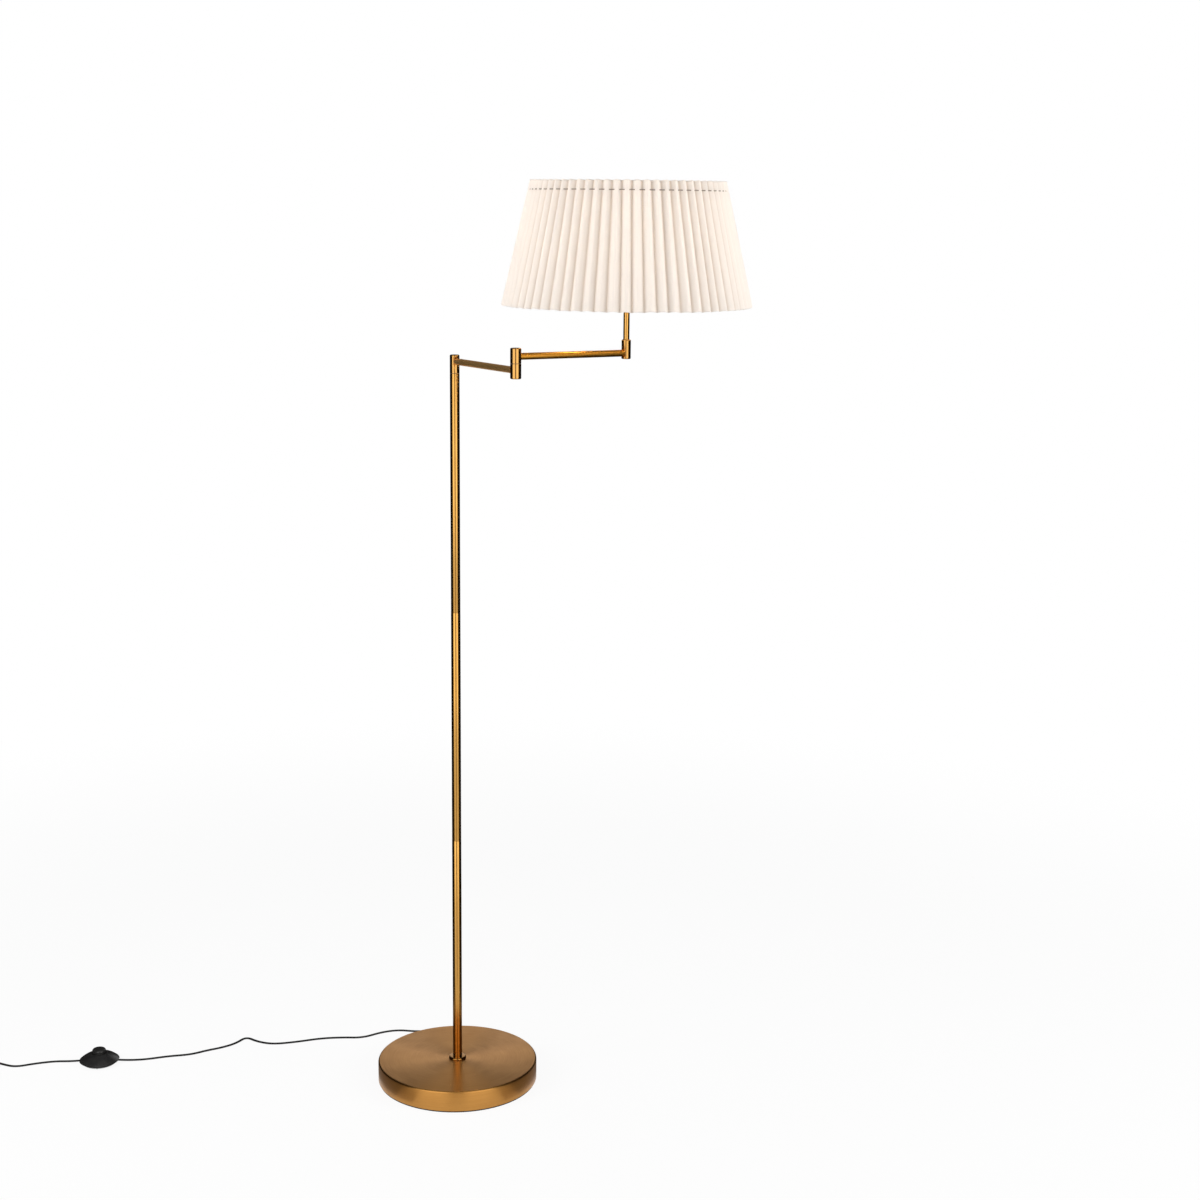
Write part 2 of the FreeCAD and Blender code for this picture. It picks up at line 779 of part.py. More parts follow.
def end_knuckle():
    """Knuckle at the free end, drilled from the top for the stem and across for the arm."""
    body = turned_body("end_knuckle", rod_outline(s.end_d, s.end_height))
    soften(body, "Fillet", s.end_edge, [(s.end_d / 2, 0), (s.end_d / 2, s.end_height)])
    bore(body, "stem_hole", s.stem_d + 2 * s.slip_gap, s.end_height, z=s.end_height - s.stem_seat)
    bore(body, "lead_hole", s.coupler_bore, s.end_height, z=s.end_drop - s.coupler_bore / 2)
    bore(body, "arm_hole", arm_hole_d, s.end_d, x=s.end_d * -1 - end_seat, z=s.end_drop, way=ALONG_X)
    return place(body, end_x, end_y, end_bottom, s.arm_2_angle)


shade_bottom = end_top + s.shade_lift
gallery_z = shade_bottom + s.gallery_rise
holder_bottom = gallery_z - s.holder_drop


def stem_tube():
    low = end_top - s.stem_seat
    length = holder_bottom + s.holder_thread - low
    return place(tube_body("stem_tube", s.stem_d, s.stem_wall, length), end_x, end_y, low)


# ---------------------------------------------------------------- lamp holder and bulb
sleeve_bottom = holder_bottom + s.holder_cap_height
insert_bottom = sleeve_bottom - s.holder_wall
contact_top = insert_bottom + s.insert_height + s.contact_rise


def holder_cap():
    """Bell-shaped cap of the lamp holder, with the thread that takes the stem."""
    bell_d = s.holder_d - 2 * s.holder_wall
    inner_d = bell_d - 2 * s.holder_wall
    stem_hole = s.stem_d + 2 * s.thread_gap
    rim = s.holder_cap_height - 2 * s.holder_wall
    top = s.holder_cap_height - s.holder_wall
    boss_top = s.holder_thread + s.holder_wall
    body = turned_body("holder_cap", [
        (stem_hole / 2, 0), (s.holder_neck_d / 2, 0), (s.holder_neck_d / 2, s.holder_neck_height),
        (bell_d / 2, rim), (bell_d / 2, top), (inner_d / 2, top), (inner_d / 2, rim + s.holder_wall / 2),
        (s.holder_neck_d / 2, boss_top), (stem_hole / 2, boss_top)])
    soften(body, "Fillet", s.holder_wall, [(bell_d / 2, rim)])
    return place(body, end_x, end_y, holder_bottom)


def holder_sleeve():
    """Threaded sleeve that the lamp screws into and the shade rings screw onto."""
    seat = s.holder_bore / 2 - s.holder_wall
    top = s.holder_sleeve_height
    body = turned_body("holder_sleeve", [
        (seat, 0), (s.holder_d / 2, 0), (s.holder_d / 2, top), (s.holder_bore / 2, top),
        (s.holder_bore / 2, s.holder_wall), (seat, s.holder_wall)])
    return place(body, end_x, end_y, sleeve_bottom - s.holder_wall)


def holder_insert():
    """Ceramic block that carries the contacts."""
    block_d = s.holder_bore - 2 * s.slip_gap
    body = turned_body("holder_insert", rod_outline(block_d, s.insert_height))
    return place(body, end_x, end_y, insert_bottom + s.holder_wall)


def holder_contact():
    """Sprung centre contact."""
    body = turned_body("holder_contact", rod_outline(s.plunger_d, s.contact_rise))
    return place(body, end_x, end_y, contact_top + s.holder_wall - s.contact_rise)


def shade_ring(label, flange_up):
    """Screwed ring: a wide flange against the gallery and a short threaded skirt."""
    inner_d = s.holder_d + 2 * s.thread_gap
    skirt_d = s.holder_d + 4 * s.holder_wall
    low = s.shade_ring_height - s.shade_ring_flange
    top = s.shade_ring_height
    body = turned_body(label, [
        (inner_d / 2, 0), (skirt_d / 2, 0), (skirt_d / 2, low), (s.shade_ring_d / 2, low),
        (s.shade_ring_d / 2, top), (inner_d / 2, top)])
    if flange_up:
        return place(body, end_x, end_y, gallery_z - s.shade_ring_height)
    tipped = FreeCAD.Rotation(FreeCAD.Vector(1, 0, 0), 180)
    return place(body, end_x, end_y, gallery_z + s.gallery_plate + s.shade_ring_height, lean=tipped)


bulb_bottom = contact_top + s.holder_wall


def bulb_cap():
    """Screw cap of the bulb, with its insulator and centre contact."""
    body = turned_body("bulb_cap", [
        (0, 0), (s.plunger_d / 2, 0), (s.insulator_d / 2, s.contact_rise),
        (s.bulb_cap_d / 2, 2 * s.contact_rise), (s.bulb_cap_d / 2, s.bulb_cap_height),
        (0, s.bulb_cap_height)])
    return place(body, end_x, end_y, bulb_bottom)


def bulb_side(shrink):
    """The bulb's outline from the neck to the crown: a straight neck, a flare and a ball."""
    half = math.sqrt(0.5)
    eighth = math.radians(22.5)
    radius = s.bulb_d / 2 - shrink
    centre = s.bulb_length - s.bulb_d / 2
    neck = s.bulb_neck_d / 2 - shrink
    flare = (radius * half - neck) / (1 - half)
    start = centre - radius * half - flare * half
    waist = via(neck + flare * (1 - math.cos(eighth)), start + flare * math.sin(eighth))
    return [(neck, start), waist, (radius * half, centre - radius * half), via(radius, centre),
            (0, centre + radius)]


def bulb_glass():
    """Opal glass envelope."""
    outside = bulb_side(0)
    inside = bulb_side(s.bulb_wall)
    foot = s.bulb_cap_height
    neck = s.bulb_neck_d / 2
    outline = [(neck, foot)] + outside + inside[::-1] + [(neck - s.bulb_wall, foot)]
    return place(turned_body("bulb_glass", outline), end_x, end_y, bulb_bottom)


# ---------------------------------------------------------------- shade
valley_bottom_d = s.shade_bottom_d - 2 * s.pleat_depth
valley_top_d = s.shade_top_d - 2 * s.pleat_depth


def inside_radius(height):
    """Clear radius inside the pleats at a height above the shade's bottom edge."""
    share = height / s.shade_height
    valley = valley_bottom_d / 2 + (valley_top_d - valley_bottom_d) / 2 * share
    return valley - s.fabric_thickness - s.seat_gap


top_ring_height = s.shade_height - s.heading_height
bottom_ring_radius = inside_radius(s.hem_height) - s.ring_wire / 2
top_ring_radius = inside_radius(top_ring_height) - s.ring_wire / 2


# Half a flute of the pleated cloth, from its crest to the fold beside it: shares of a pleat's width
# and of its depth.
FLUTE = ((0, 0), (0.2, 0.09), (0.36, 0.36), (0.5, 1))


def pleated_outline(radius, z):
    """Closed outline of the pleats: rounded crests at the radius, sharp folds inside it."""
    points = []
    turn_of_pleat = 2 * math.pi / value_of(s.pleat_count)
    flute = FLUTE + tuple((1 - across, depth) for across, depth in FLUTE[-2:0:-1])
    for pleat in range(value_of(s.pleat_count)):
        for across, depth in flute:
            reach = radius - depth * value_of(s.pleat_depth)
            angle = (pleat + across) * turn_of_pleat
            points.append(FreeCAD.Vector(reach * math.cos(angle), reach * math.sin(angle), z))
    return Part.makePolygon(points + points[:1])


def shade_fabric():
    """Pleated cloth cone: a ruled wall between two fluted outlines, one cloth thick."""
    height = value_of(s.shade_height)
    cloth = value_of(s.fabric_thickness)
    low = value_of(s.shade_bottom_d) / 2
    high = value_of(s.shade_top_d) / 2
    solids = []
    for inset in (0, cloth):
        wires = [pleated_outline(low - inset, 0), pleated_outline(high - inset, height)]
        solids.append(Part.makeLoft(wires, True, True))
    wall = solids[0].cut(solids[1])
    return place(shaped("shade_fabric", wall), end_x, end_y, shade_bottom)


def wire_ring(label, radius, height):
    """Wire hoop of the shade's frame."""
    ring = doc.addObject("Part::Torus", label)
    ring.Label = label
    ring.Radius1 = value_of(radius)
    ring.Radius2 = value_of(s.ring_wire) / 2
    bind(ring, "Radius1", radius)
    bind(ring, "Radius2", s.ring_wire / 2)
    return place(ring, end_x, end_y, shade_bottom + height)


def shade_uprights():
    """Straight wires brazed inside the two hoops."""
    inset = value_of(s.ring_wire + s.upright_wire) / 2 + value_of(s.slip_gap)
    over = value_of(s.ring_wire) / 2
    low = FreeCAD.Vector(value_of(bottom_ring_radius) - inset, 0, value_of(s.hem_height) - over)
    high = FreeCAD.Vector(value_of(top_ring_radius) - inset, 0, value_of(top_ring_height) + over)
    run = high - low
    wire = Part.makeCylinder(value_of(s.upright_wire) / 2, run.Length, low, run)
    wires = []
    for index in range(value_of(s.uprights)):
        turned = wire.copy()
        angle = value_of(s.upright_turn) + 360 * index / value_of(s.uprights)
        turned.rotate(FreeCAD.Vector(), FreeCAD.Vector(0, 0, 1), angle)
        wires.append(turned)
    return place(shaped("shade_uprights", Part.makeCompound(wires)), end_x, end_y, shade_bottom)


def shade_gallery():
    """Round plate clamped on the lamp holder, with three arms that run out to the lower hoop."""
    plate = Part.makeCylinder(value_of(s.gallery_d) / 2, value_of(s.gallery_plate))
    plate = plate.cut(Part.makeCylinder(value_of(s.gallery_bore) / 2, value_of(s.gallery_plate)))
    start = FreeCAD.Vector(value_of(s.gallery_d / 2 - s.gallery_lap), 0, value_of(s.gallery_plate) / 2)
    drop = value_of(s.hem_height - s.gallery_rise + s.ring_wire + s.slip_gap)
    end = FreeCAD.Vector(value_of(bottom_ring_radius), 0, drop)
    arm = Part.makeCylinder(value_of(s.ring_wire) / 2, (end - start).Length, start, end - start)
    for index in range(value_of(s.gallery_arms)):
        turned = arm.copy()
        angle = value_of(s.gallery_turn) + 360 * index / value_of(s.gallery_arms)
        turned.rotate(FreeCAD.Vector(), FreeCAD.Vector(0, 0, 1), angle)
        plate = plate.fuse(turned)
    return place(shaped("shade_gallery", plate), end_x, end_y, gallery_z)


# ---------------------------------------------------------------- leads and cords
def rounded_path(points, radius=None):
    """Straight runs joined by tangent arcs, as large as the shorter run allows or of one radius."""
    vectors = [FreeCAD.Vector(*point) for point in points]
    edges = []
    radii = []
    start = vectors[0]
    for before, corner, after in zip(vectors, vectors[1:], vectors[2:]):
        arriving = (corner - before).normalize()
        leaving = (after - corner).normalize()
        half_turn = arriving.getAngle(leaving) / 2
        shorter = min((corner - before).Length, (after - corner).Length)
        bend = radius or ARC_SHARE * shorter / math.tan(half_turn)
        reach = bend * math.tan(half_turn)
        enter = corner - arriving * reach
        leave = corner + leaving * reach
        towards = (leaving - arriving).normalize()
        middle = corner + towards * (bend / math.cos(half_turn) - bend)
        edges.append(Part.LineSegment(start, enter).toShape())
        edges.append(Part.Arc(enter, middle, leave).toShape())
        radii.append(bend)
        start = leave
    edges.append(Part.LineSegment(start, vectors[-1]).toShape())
    return Part.Wire(edges), radii


def round_lead(label, points):
    """Round lead through points, with the same bend at each corner."""
    path, _ = rounded_path(points, value_of(s.lead_bend))
    first = FreeCAD.Vector(*points[0])
    way = FreeCAD.Vector(*points[1]) - first
    section = Part.Wire(Part.makeCircle(value_of(s.lead_d) / 2, first, way))
    return shaped(label, path.makePipeShell([section], True, False))


def flat_cord(label, points):
    """Flat two-core cord laid along a route, its wide side level."""
    path, radii = rounded_path(points)
    first = FreeCAD.Vector(*points[0])
    way = FreeCAD.Vector(*points[1]) - first
    side = way.cross(FreeCAD.Vector(0, 0, 1)).normalize()
    rise = side.cross(way).normalize()
    half = value_of(s.cord_thickness) / 2
    flat = value_of(s.cord_width) / 2 - half
    left_low = first - side * flat - rise * half
    left_high = first - side * flat + rise * half
    right_low = first + side * flat - rise * half
    right_high = first + side * flat + rise * half
    section = Part.Wire([
        Part.LineSegment(left_low, right_low).toShape(),
        Part.Arc(right_low, first + side * (flat + half), right_high).toShape(),
        Part.LineSegment(right_high, left_high).toShape(),
        Part.Arc(left_high, first - side * (flat + half), left_low).toShape()])
    sweep = Part.BRepOffsetAPI.MakePipeShell(path)
    sweep.setBiNormalMode(FreeCAD.Vector(0, 0, 1))
    sweep.add(section)
    sweep.build()
    sweep.makeSolid()
    solid = sweep.shape()
    area = Part.Face(section).Area
    share = round(solid.Volume / (area * path.Length), 4)
    print(label, "length", round(path.Length, 1), "volume share", share)
    print("radii", [round(radius, 1) for radius in radii])
    return shaped(label, solid)


def lead_pole():
    """Lead from the grommet through the weight and up the pole."""
    start = value_of(s.base_d / 2 - s.cover_wall - s.grommet_flange - s.slip_gap)
    top = value_of(swivel_spindle_bottom - s.drill_relief)
    level = value_of(s.exit_height)
    return round_lead("lead_pole", [(0, start, level), (0, 0, level), (0, 0, top)])


def lead_arm_1():
    """Lead up through the swivel spindle and along the first arm."""
    low = value_of(swivel_spindle_bottom)
    level = value_of(arm_1_z)
    reach = value_of(s.arm_length - cavity_seat)
    angle = math.radians(value_of(s.arm_1_angle))
    end = (reach * math.cos(angle), reach * math.sin(angle), level)
    return round_lead("lead_arm_1", [(0, 0, low), (0, 0, level), end])


def lead_arm_2():
    """Lead up through the elbow's spindle, along the second arm and up the stem."""
    low = value_of(elbow_spindle_bottom)
    level = value_of(arm_2_z)
    top = value_of(holder_bottom + s.holder_thread)
    start = (value_of(elbow_x), value_of(elbow_y))
    end = (value_of(end_x), value_of(end_y))
    return round_lead("lead_arm_2", [(*start, low), (*start, level), (*end, level), (*end, top)])


# ---------------------------------------------------------------- foot switch
dome_radius = (s.switch_d * s.switch_d / 4 + s.dome_height * s.dome_height) / (2 * s.dome_height)
dome_centre = s.switch_seam + s.dome_height - dome_radius
button_hole_d = s.button_d + 2 * s.button_gap
cord_slot_width = s.cord_width + 2 * s.switch_cord_play
cord_slot_height = s.cord_thickness + 2 * s.switch_cord_play
cord_slot_low = s.switch_cord_height - cord_slot_height / 2
block_bottom = s.switch_feet_height + s.switch_wall


def dome_height_at(radius, across):
    return dome_centre + root(radius * radius - across * across)


def cord_slots(body, floor):
    """Opens the two notches where the cord passes through the housing."""
    slot_box(body, "cord_slots", s.switch_d * 2, cord_slot_width, cord_slot_height,
             s.switch_d * -1, cord_slot_width * -0.5, cord_slot_low - floor)


def screw_holes(body, name, diameter, length, z):
    """Drills the ring of screw holes."""
    drill = bore(body, name, diameter, length, y=s.screw_circle_d / 2, z=z)
    repeat_round(body, [drill], s.screw_count)


def switch_base():
    """Lower shell of the foot switch, a shallow dish with sunk holes for the screws."""
    low = s.switch_feet_height
    floor = s.switch_wall
    rise = s.switch_seam - low
    body = turned_body("switch_base", [
        (0, 0), (s.switch_foot_d / 2, 0), (s.switch_d / 2, rise), (s.switch_d / 2 - s.switch_wall, rise),
        (s.switch_foot_d / 2 - s.switch_wall / 2, floor), (0, floor)])
    cord_slots(body, low)
    screw_holes(body, "screw_hole", s.screw_d + 2 * s.hole_clearance, floor, 0)
    screw_holes(body, "head_hole", s.screw_head_d + 2 * s.hole_clearance, s.screw_head_height, 0)
    return place(body, s.switch_x, s.switch_y, low)


def switch_screws():
    """Pan-head screws that hold the two shells together from below."""
    body = new_body("switch_screws")
    body.AllowCompound = True
    out = s.screw_circle_d / 2
    head = boss(body, "screw_head", s.screw_head_d, s.screw_head_height, y=out)
    shank = boss(body, "screw_shank", s.screw_d, s.screw_length, y=out)
    repeat_round(body, [head, shank], s.screw_count)
    return place(body, s.switch_x, s.switch_y, s.switch_feet_height)


def switch_feet():
    """Three rubber pads under the switch."""
    pads = doc.addObject("Part::Compound", "switch_feet")
    pads.Label = "switch_feet"
    links = []
    for index in range(value_of(s.screw_count)):
        pad = doc.addObject("Part::Cylinder", f"foot_pad_{index + 1}")
        pad.Radius = value_of(s.switch_foot_pad_d) / 2
        pad.Height = value_of(s.switch_feet_height)
        bind(pad, "Radius", s.switch_foot_pad_d / 2)
        bind(pad, "Height", s.switch_feet_height)
        angle = s.switch_foot_pad_turn + 360 * index / s.screw_count
        reach = s.switch_foot_d / 2 - s.switch_foot_pad_d / 2 - s.switch_foot_pad_inset
        place(pad, reach * cosine(angle), reach * sine(angle))
        links.append(pad)
    pads.Links = links
    return place(pads, s.switch_x, s.switch_y, 0)


def switch_cover():
    """Domed upper shell, with the hole that guides the button and three screw posts."""
    inner_radius = dome_radius - s.switch_wall
    rim = s.switch_d / 2
    hole = button_hole_d / 2
    seam_depth = s.switch_seam - dome_centre
    inside = root(inner_radius * inner_radius - seam_depth * seam_depth)
    middle = (rim + hole) / 2
    body = turned_body("switch_cover", [
        (rim, s.switch_seam), via(middle, dome_height_at(dome_radius, middle)),
        (hole, dome_height_at(dome_radius, hole)), (hole, dome_height_at(inner_radius, hole)),
        via(middle, dome_height_at(inner_radius, middle)), (inside, s.switch_seam)])
    cord_slots(body, 0)
    post_out = s.screw_circle_d / 2
    post_length = dome_height_at(inner_radius, post_out) - block_bottom
    post = boss(body, "screw_post", s.screw_post_d, post_length, y=post_out, z=block_bottom)
    repeat_round(body, [post], s.screw_count)
    screw_holes(body, "pilot_hole", s.screw_d + 2 * s.thread_gap, s.screw_length, block_bottom)
    return place(body, s.switch_x, s.switch_y, 0)


button_flange_d = button_hole_d + 2 * s.button_flange_reach
button_flange_top = dome_height_at(dome_radius - s.switch_wall, button_flange_d / 2) - s.seat_gap
button_bottom = button_flange_top - s.button_flange


def switch_button():
    """Push button with a retaining flange, hollow underneath for its spring."""
    ceiling = s.button_top - button_bottom - 2 * s.switch_wall
    top = s.button_top - button_bottom
    flange = button_flange_d / 2
    body = turned_body("switch_button", [
        (s.button_d / 2 - s.switch_wall, 0), (flange, 0), (flange, s.button_flange),
        (s.button_d / 2, s.button_flange), (s.button_d / 2, top), (0, top), (0, ceiling),
        (s.button_d / 2 - s.switch_wall, ceiling)])
    soften(body, "Fillet", s.button_edge, [(s.button_d / 2, top)])
    return place(body, s.switch_x, s.switch_y, button_bottom)


block_top = block_bottom + s.block_height
button_ceiling = s.button_top - 2 * s.switch_wall


def switch_block():
    """Latching contact block in the middle of the switch, with its plunger."""
    half_length = s.block_length / 2
    half_width = s.block_width / 2
    outline = [(half_length * -1, half_width * -1), (half_length, half_width * -1),
               (half_length, half_width), (half_length * -1, half_width)]
    body = pad_body("switch_block", "XY_Plane", s.block_height, outlines=(outline,))
    boss(body, "plunger", s.plunger_d, button_ceiling - s.button_travel - s.slip_gap - block_bottom)
    return place(body, s.switch_x, s.switch_y, block_bottom)


def switch_spring():
    """Return spring between the contact block and the button."""
    wire = value_of(s.spring_wire)
    low = block_top + s.spring_wire / 2
    tall = value_of(button_ceiling - s.spring_wire / 2 - low)
    radius = (value_of(s.spring_d) - wire) / 2
    helix = Part.makeHelix(tall / value_of(s.spring_turns), tall, radius)
    section = Part.Wire(Part.makeCircle(wire / 2, FreeCAD.Vector(radius, 0, 0), FreeCAD.Vector(0, 1, 0)))
    spring = Part.Wire(helix.Edges).makePipeShell([section], True, True)
    return place(shaped("switch_spring", spring), s.switch_x, s.switch_y, low)


# ---------------------------------------------------------------- coil and plug
def cord_coil():
    """Outer shape of the wound cord."""
    body = turned_body("cord_coil", ring_outline(s.coil_inner_d, s.coil_outer_d, s.coil_height))
    rims = [(s.coil_inner_d / 2, 0), (s.coil_outer_d / 2, 0),
            (s.coil_inner_d / 2, s.coil_height), (s.coil_outer_d / 2, s.coil_height)]
    soften(body, "Fillet", s.cord_thickness / 2, rims)
    return place(body, s.coil_x, s.coil_y, s.tie_thickness)


def coil_tie():
    """Band round the coil's turns."""
    gap = s.slip_gap
    skin = 2 * s.tie_thickness
    outer = ring_outline(s.coil_inner_d - skin, s.coil_outer_d + skin, s.coil_height + skin)
    inner = ring_outline(s.coil_inner_d - 2 * gap, s.coil_outer_d + 2 * gap, s.coil_height + 2 * gap,
                         s.tie_thickness - gap)
    body = new_body("coil_tie")
    sketch = new_sketch(body, "band", "XZ_Plane")
    draw_outline(sketch, outer)
    draw_outline(sketch, inner)
    band = body.newObject("PartDesign::Revolution", "band_round")
    band.Profile = sketch
    band.ReferenceAxis = (sketch, ["V_Axis"])
    band.Angle = value_of(s.tie_angle)
    bind(band, "Angle", s.tie_angle)
    body.Tip = band
    doc.recompute()
    return place(body, s.coil_x, s.coil_y, 0, s.tie_turn)


def plug_body():
    """Moulded flat two-pin plug, with a tapered sleeve for the cord."""
    rear = s.plug_rear_width / 2
    front = s.plug_width / 2
    outline = [(rear * -1, 0), (front * -1, s.plug_shoulder * -1), (front * -1, s.plug_length * -1),
               (front, s.plug_length * -1), (front, s.plug_shoulder * -1), (rear, 0)]
    body = pad_body("plug_body", "XY_Plane", s.plug_thickness, outlines=(outline,))
    rounds = (("soft_corners", s.plug_corner, True), ("soft_faces", s.plug_edge, False))
    for name, radius, upright in rounds:
        base = body.Tip
        edges = []
        for count, edge in enumerate(base.Shape.Edges, start=1):
            box = edge.BoundBox
            if (box.ZLength > box.DiagonalLength / 2) == upright:
                edges.append(f"Edge{count}")
        rounded = body.newObject("PartDesign::Fillet", name)
        rounded.Base = (base, edges)
        rounded.Radius = value_of(radius)
        bind(rounded, "Radius", radius)
        body.Tip = rounded
        doc.recompute()
    sleeve = body.newObject("PartDesign::AdditiveCone", "sleeve")
    sleeve.Radius1 = value_of(s.plug_sleeve_d) / 2
    sleeve.Radius2 = value_of(s.grommet_tip_d) / 2
    sleeve.Height = value_of(s.plug_sleeve)
    bind(sleeve, "Radius1", s.plug_sleeve_d / 2)
    bind(sleeve, "Radius2", s.grommet_tip_d / 2)
    bind(sleeve, "Height", s.plug_sleeve)
    place(sleeve, z=s.plug_thickness / 2, lean=ALONG_Y)
    body.Tip = sleeve
    doc.recompute()
    return place(body, s.plug_x, s.plug_y, 0)


def plug_pins():
    """Two round pins."""
    pins = doc.addObject("Part::Compound", "plug_pins")
    pins.Label = "plug_pins"
    links = []
    backwards = FreeCAD.Rotation(FreeCAD.Vector(1, 0, 0), 90)
    for side in (-0.5, 0.5):
        pin = doc.addObject("Part::Cylinder", "pin_left" if side < 0 else "pin_right")
        pin.Radius = value_of(s.pin_d) / 2
        pin.Height = value_of(s.pin_length)
        bind(pin, "Radius", s.pin_d / 2)
        bind(pin, "Height", s.pin_length)
        place(pin, s.pin_spacing * side, s.plug_length * -1, s.plug_thickness / 2, lean=backwards)
        links.append(pin)
    pins.Links = links
    return place(pins, s.plug_x, s.plug_y, 0)


# ---------------------------------------------------------------- the whole lamp
pieces = [
    base_pad(), base_cover(), base_weight(), base_washer(), base_nut(), base_nipple(), cord_grommet(),
    pole_collar(), pole_foot(), pole_tube("pole_tube_lower", 0), pole_tube("pole_tube_middle", 1),
    pole_tube("pole_tube_upper", 2), *pole_couplers(), pole_bush(),
    swivel_washer(), swivel_head(), swivel_spindle(), swivel_nut(), arm_1_tube(), lower_knuckle(),
    lower_knuckle_cap(), elbow_washer(), elbow_spindle(), elbow_nut(), upper_knuckle(), arm_2_tube(),
    end_knuckle(), stem_tube(), holder_cap(), holder_sleeve(), holder_insert(), holder_contact(),
    shade_ring("shade_ring_lower", True), shade_ring("shade_ring_upper", False), bulb_cap(), bulb_glass(),
    shade_fabric(), wire_ring("shade_bottom_ring", bottom_ring_radius, s.hem_height),
    wire_ring("shade_top_ring", top_ring_radius, top_ring_height), shade_uprights(), shade_gallery(),
    lead_pole(), lead_arm_1(), lead_arm_2(), flat_cord("cord_to_switch", CORD_TO_SWITCH),
    flat_cord("cord_to_coil", CORD_TO_COIL), flat_cord("cord_to_plug", CORD_TO_PLUG),
    switch_base(), switch_feet(), switch_screws(), switch_cover(), switch_button(), switch_block(),
    switch_spring(), cord_coil(), coil_tie(), plug_body(), plug_pins(),
]
doc.recompute()

for item in doc.Objects:
    if "Invalid" in item.State or "Error" in item.State:
        owners = [owner.Label for owner in item.InList]
        raise RuntimeError(f"{item.Name} of {owners} failed: {item.State}")
for piece in pieces:
    if piece.Shape.isNull() or not piece.Shape.isValid():
        raise RuntimeError(f"{piece.Label} has no valid shape")

os.makedirs("parts", exist_ok=True)
for piece in pieces:
    piece.Shape.exportStep(f"parts/{piece.Label}.step")
print(len(pieces), "pieces written")
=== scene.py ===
import random
from math import atan, atan2, cos, floor as whole, hypot, radians, sin, sqrt, tau

import bmesh
import bpy
from mathutils import Matrix, Vector


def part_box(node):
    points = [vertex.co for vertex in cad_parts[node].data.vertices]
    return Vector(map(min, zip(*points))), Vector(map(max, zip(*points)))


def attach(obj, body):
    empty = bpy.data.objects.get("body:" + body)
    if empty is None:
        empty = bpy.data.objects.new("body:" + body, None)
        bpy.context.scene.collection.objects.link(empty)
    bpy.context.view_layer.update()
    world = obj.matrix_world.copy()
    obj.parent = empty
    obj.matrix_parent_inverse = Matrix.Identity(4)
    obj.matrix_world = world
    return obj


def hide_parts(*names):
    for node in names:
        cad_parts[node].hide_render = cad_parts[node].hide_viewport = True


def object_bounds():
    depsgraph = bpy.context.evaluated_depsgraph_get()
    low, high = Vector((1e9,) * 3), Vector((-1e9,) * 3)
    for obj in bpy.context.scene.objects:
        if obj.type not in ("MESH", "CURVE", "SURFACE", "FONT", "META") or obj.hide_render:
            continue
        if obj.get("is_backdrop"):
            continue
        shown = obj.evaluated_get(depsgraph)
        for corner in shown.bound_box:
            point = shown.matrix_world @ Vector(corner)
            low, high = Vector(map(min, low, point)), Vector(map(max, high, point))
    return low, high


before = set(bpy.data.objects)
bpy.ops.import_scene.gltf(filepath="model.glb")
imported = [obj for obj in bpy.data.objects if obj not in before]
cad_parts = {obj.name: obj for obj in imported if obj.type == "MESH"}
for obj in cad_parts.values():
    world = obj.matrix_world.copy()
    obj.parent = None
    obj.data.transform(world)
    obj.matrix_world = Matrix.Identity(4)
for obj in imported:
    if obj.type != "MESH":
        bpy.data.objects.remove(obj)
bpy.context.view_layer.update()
scene = bpy.context.scene
scene.view_settings.view_transform = "Standard"


# ---- View
# The lamp is seen from standing height, 3.3 m in front of its pole. The camera is turned 4 degrees to
# the right and 11 degrees down, so the top of the base shows and the open top of the shade doesn't.
eye = Vector((0, -3.2763, 1.5276))
downward, rightward, roll = radians(11.385), radians(4.280), radians(0.600)
ahead = Vector((sin(rightward) * cos(downward), cos(rightward) * cos(downward), -sin(downward)))
level = Vector((cos(rightward), -sin(rightward), 0))
across = cos(roll) * level + sin(roll) * level.cross(ahead)
upward = across.cross(ahead)
camera = bpy.data.objects.new("camera", bpy.data.cameras.new("camera"))
camera.data.sensor_width = 36
camera.data.lens = 59.03
camera.data.clip_end = 200
turn = Matrix((across, upward, -ahead)).transposed().to_4x4()
camera.matrix_world = Matrix.Translation(eye) @ turn
scene.collection.objects.link(camera)
scene.camera = camera


# ---- Room
# A plain white studio: a wide floor that runs out into white, and a white world behind it. The floor
# keeps a light shadow round the lamp, and metal and glass see the same white that the camera sees.
def new_material(name):
    """An empty node material and its node tree."""
    material = bpy.data.materials.new(name)
    material.use_nodes = True
    material.node_tree.nodes.clear()
    return material, material.node_tree


def add_node(tree, kind, inputs=None, **settings):
    """A shader node with its settings, and its inputs fed by other nodes' outputs or by plain values."""
    node = tree.nodes.new("ShaderNode" + kind)
    for name, value in settings.items():
        setattr(node, name, value)
    for key, value in (inputs or {}).items():
        if isinstance(value, bpy.types.NodeSocket):
            tree.links.new(value, node.inputs[key])
        else:
            node.inputs[key].default_value = value
    return node


def reckon(tree, operation, *values, clamp=False):
    """The result of a sum on outputs or plain numbers."""
    node = add_node(tree, "Math", dict(enumerate(values)), operation=operation, use_clamp=clamp)
    return node.outputs[0]


def object_spot(tree):
    """Where a point of the surface is, in the piece's own coordinates."""
    return add_node(tree, "TexCoord").outputs["Object"]


def seen_rays(tree):
    """A mask that is 1 for the rays of the camera, of gloss and of clear glass."""
    path = add_node(tree, "LightPath").outputs
    seen = reckon(tree, "ADD", path["Is Camera Ray"], path["Is Glossy Ray"], clamp=True)
    return reckon(tree, "ADD", seen, path["Is Transmission Ray"], clamp=True)


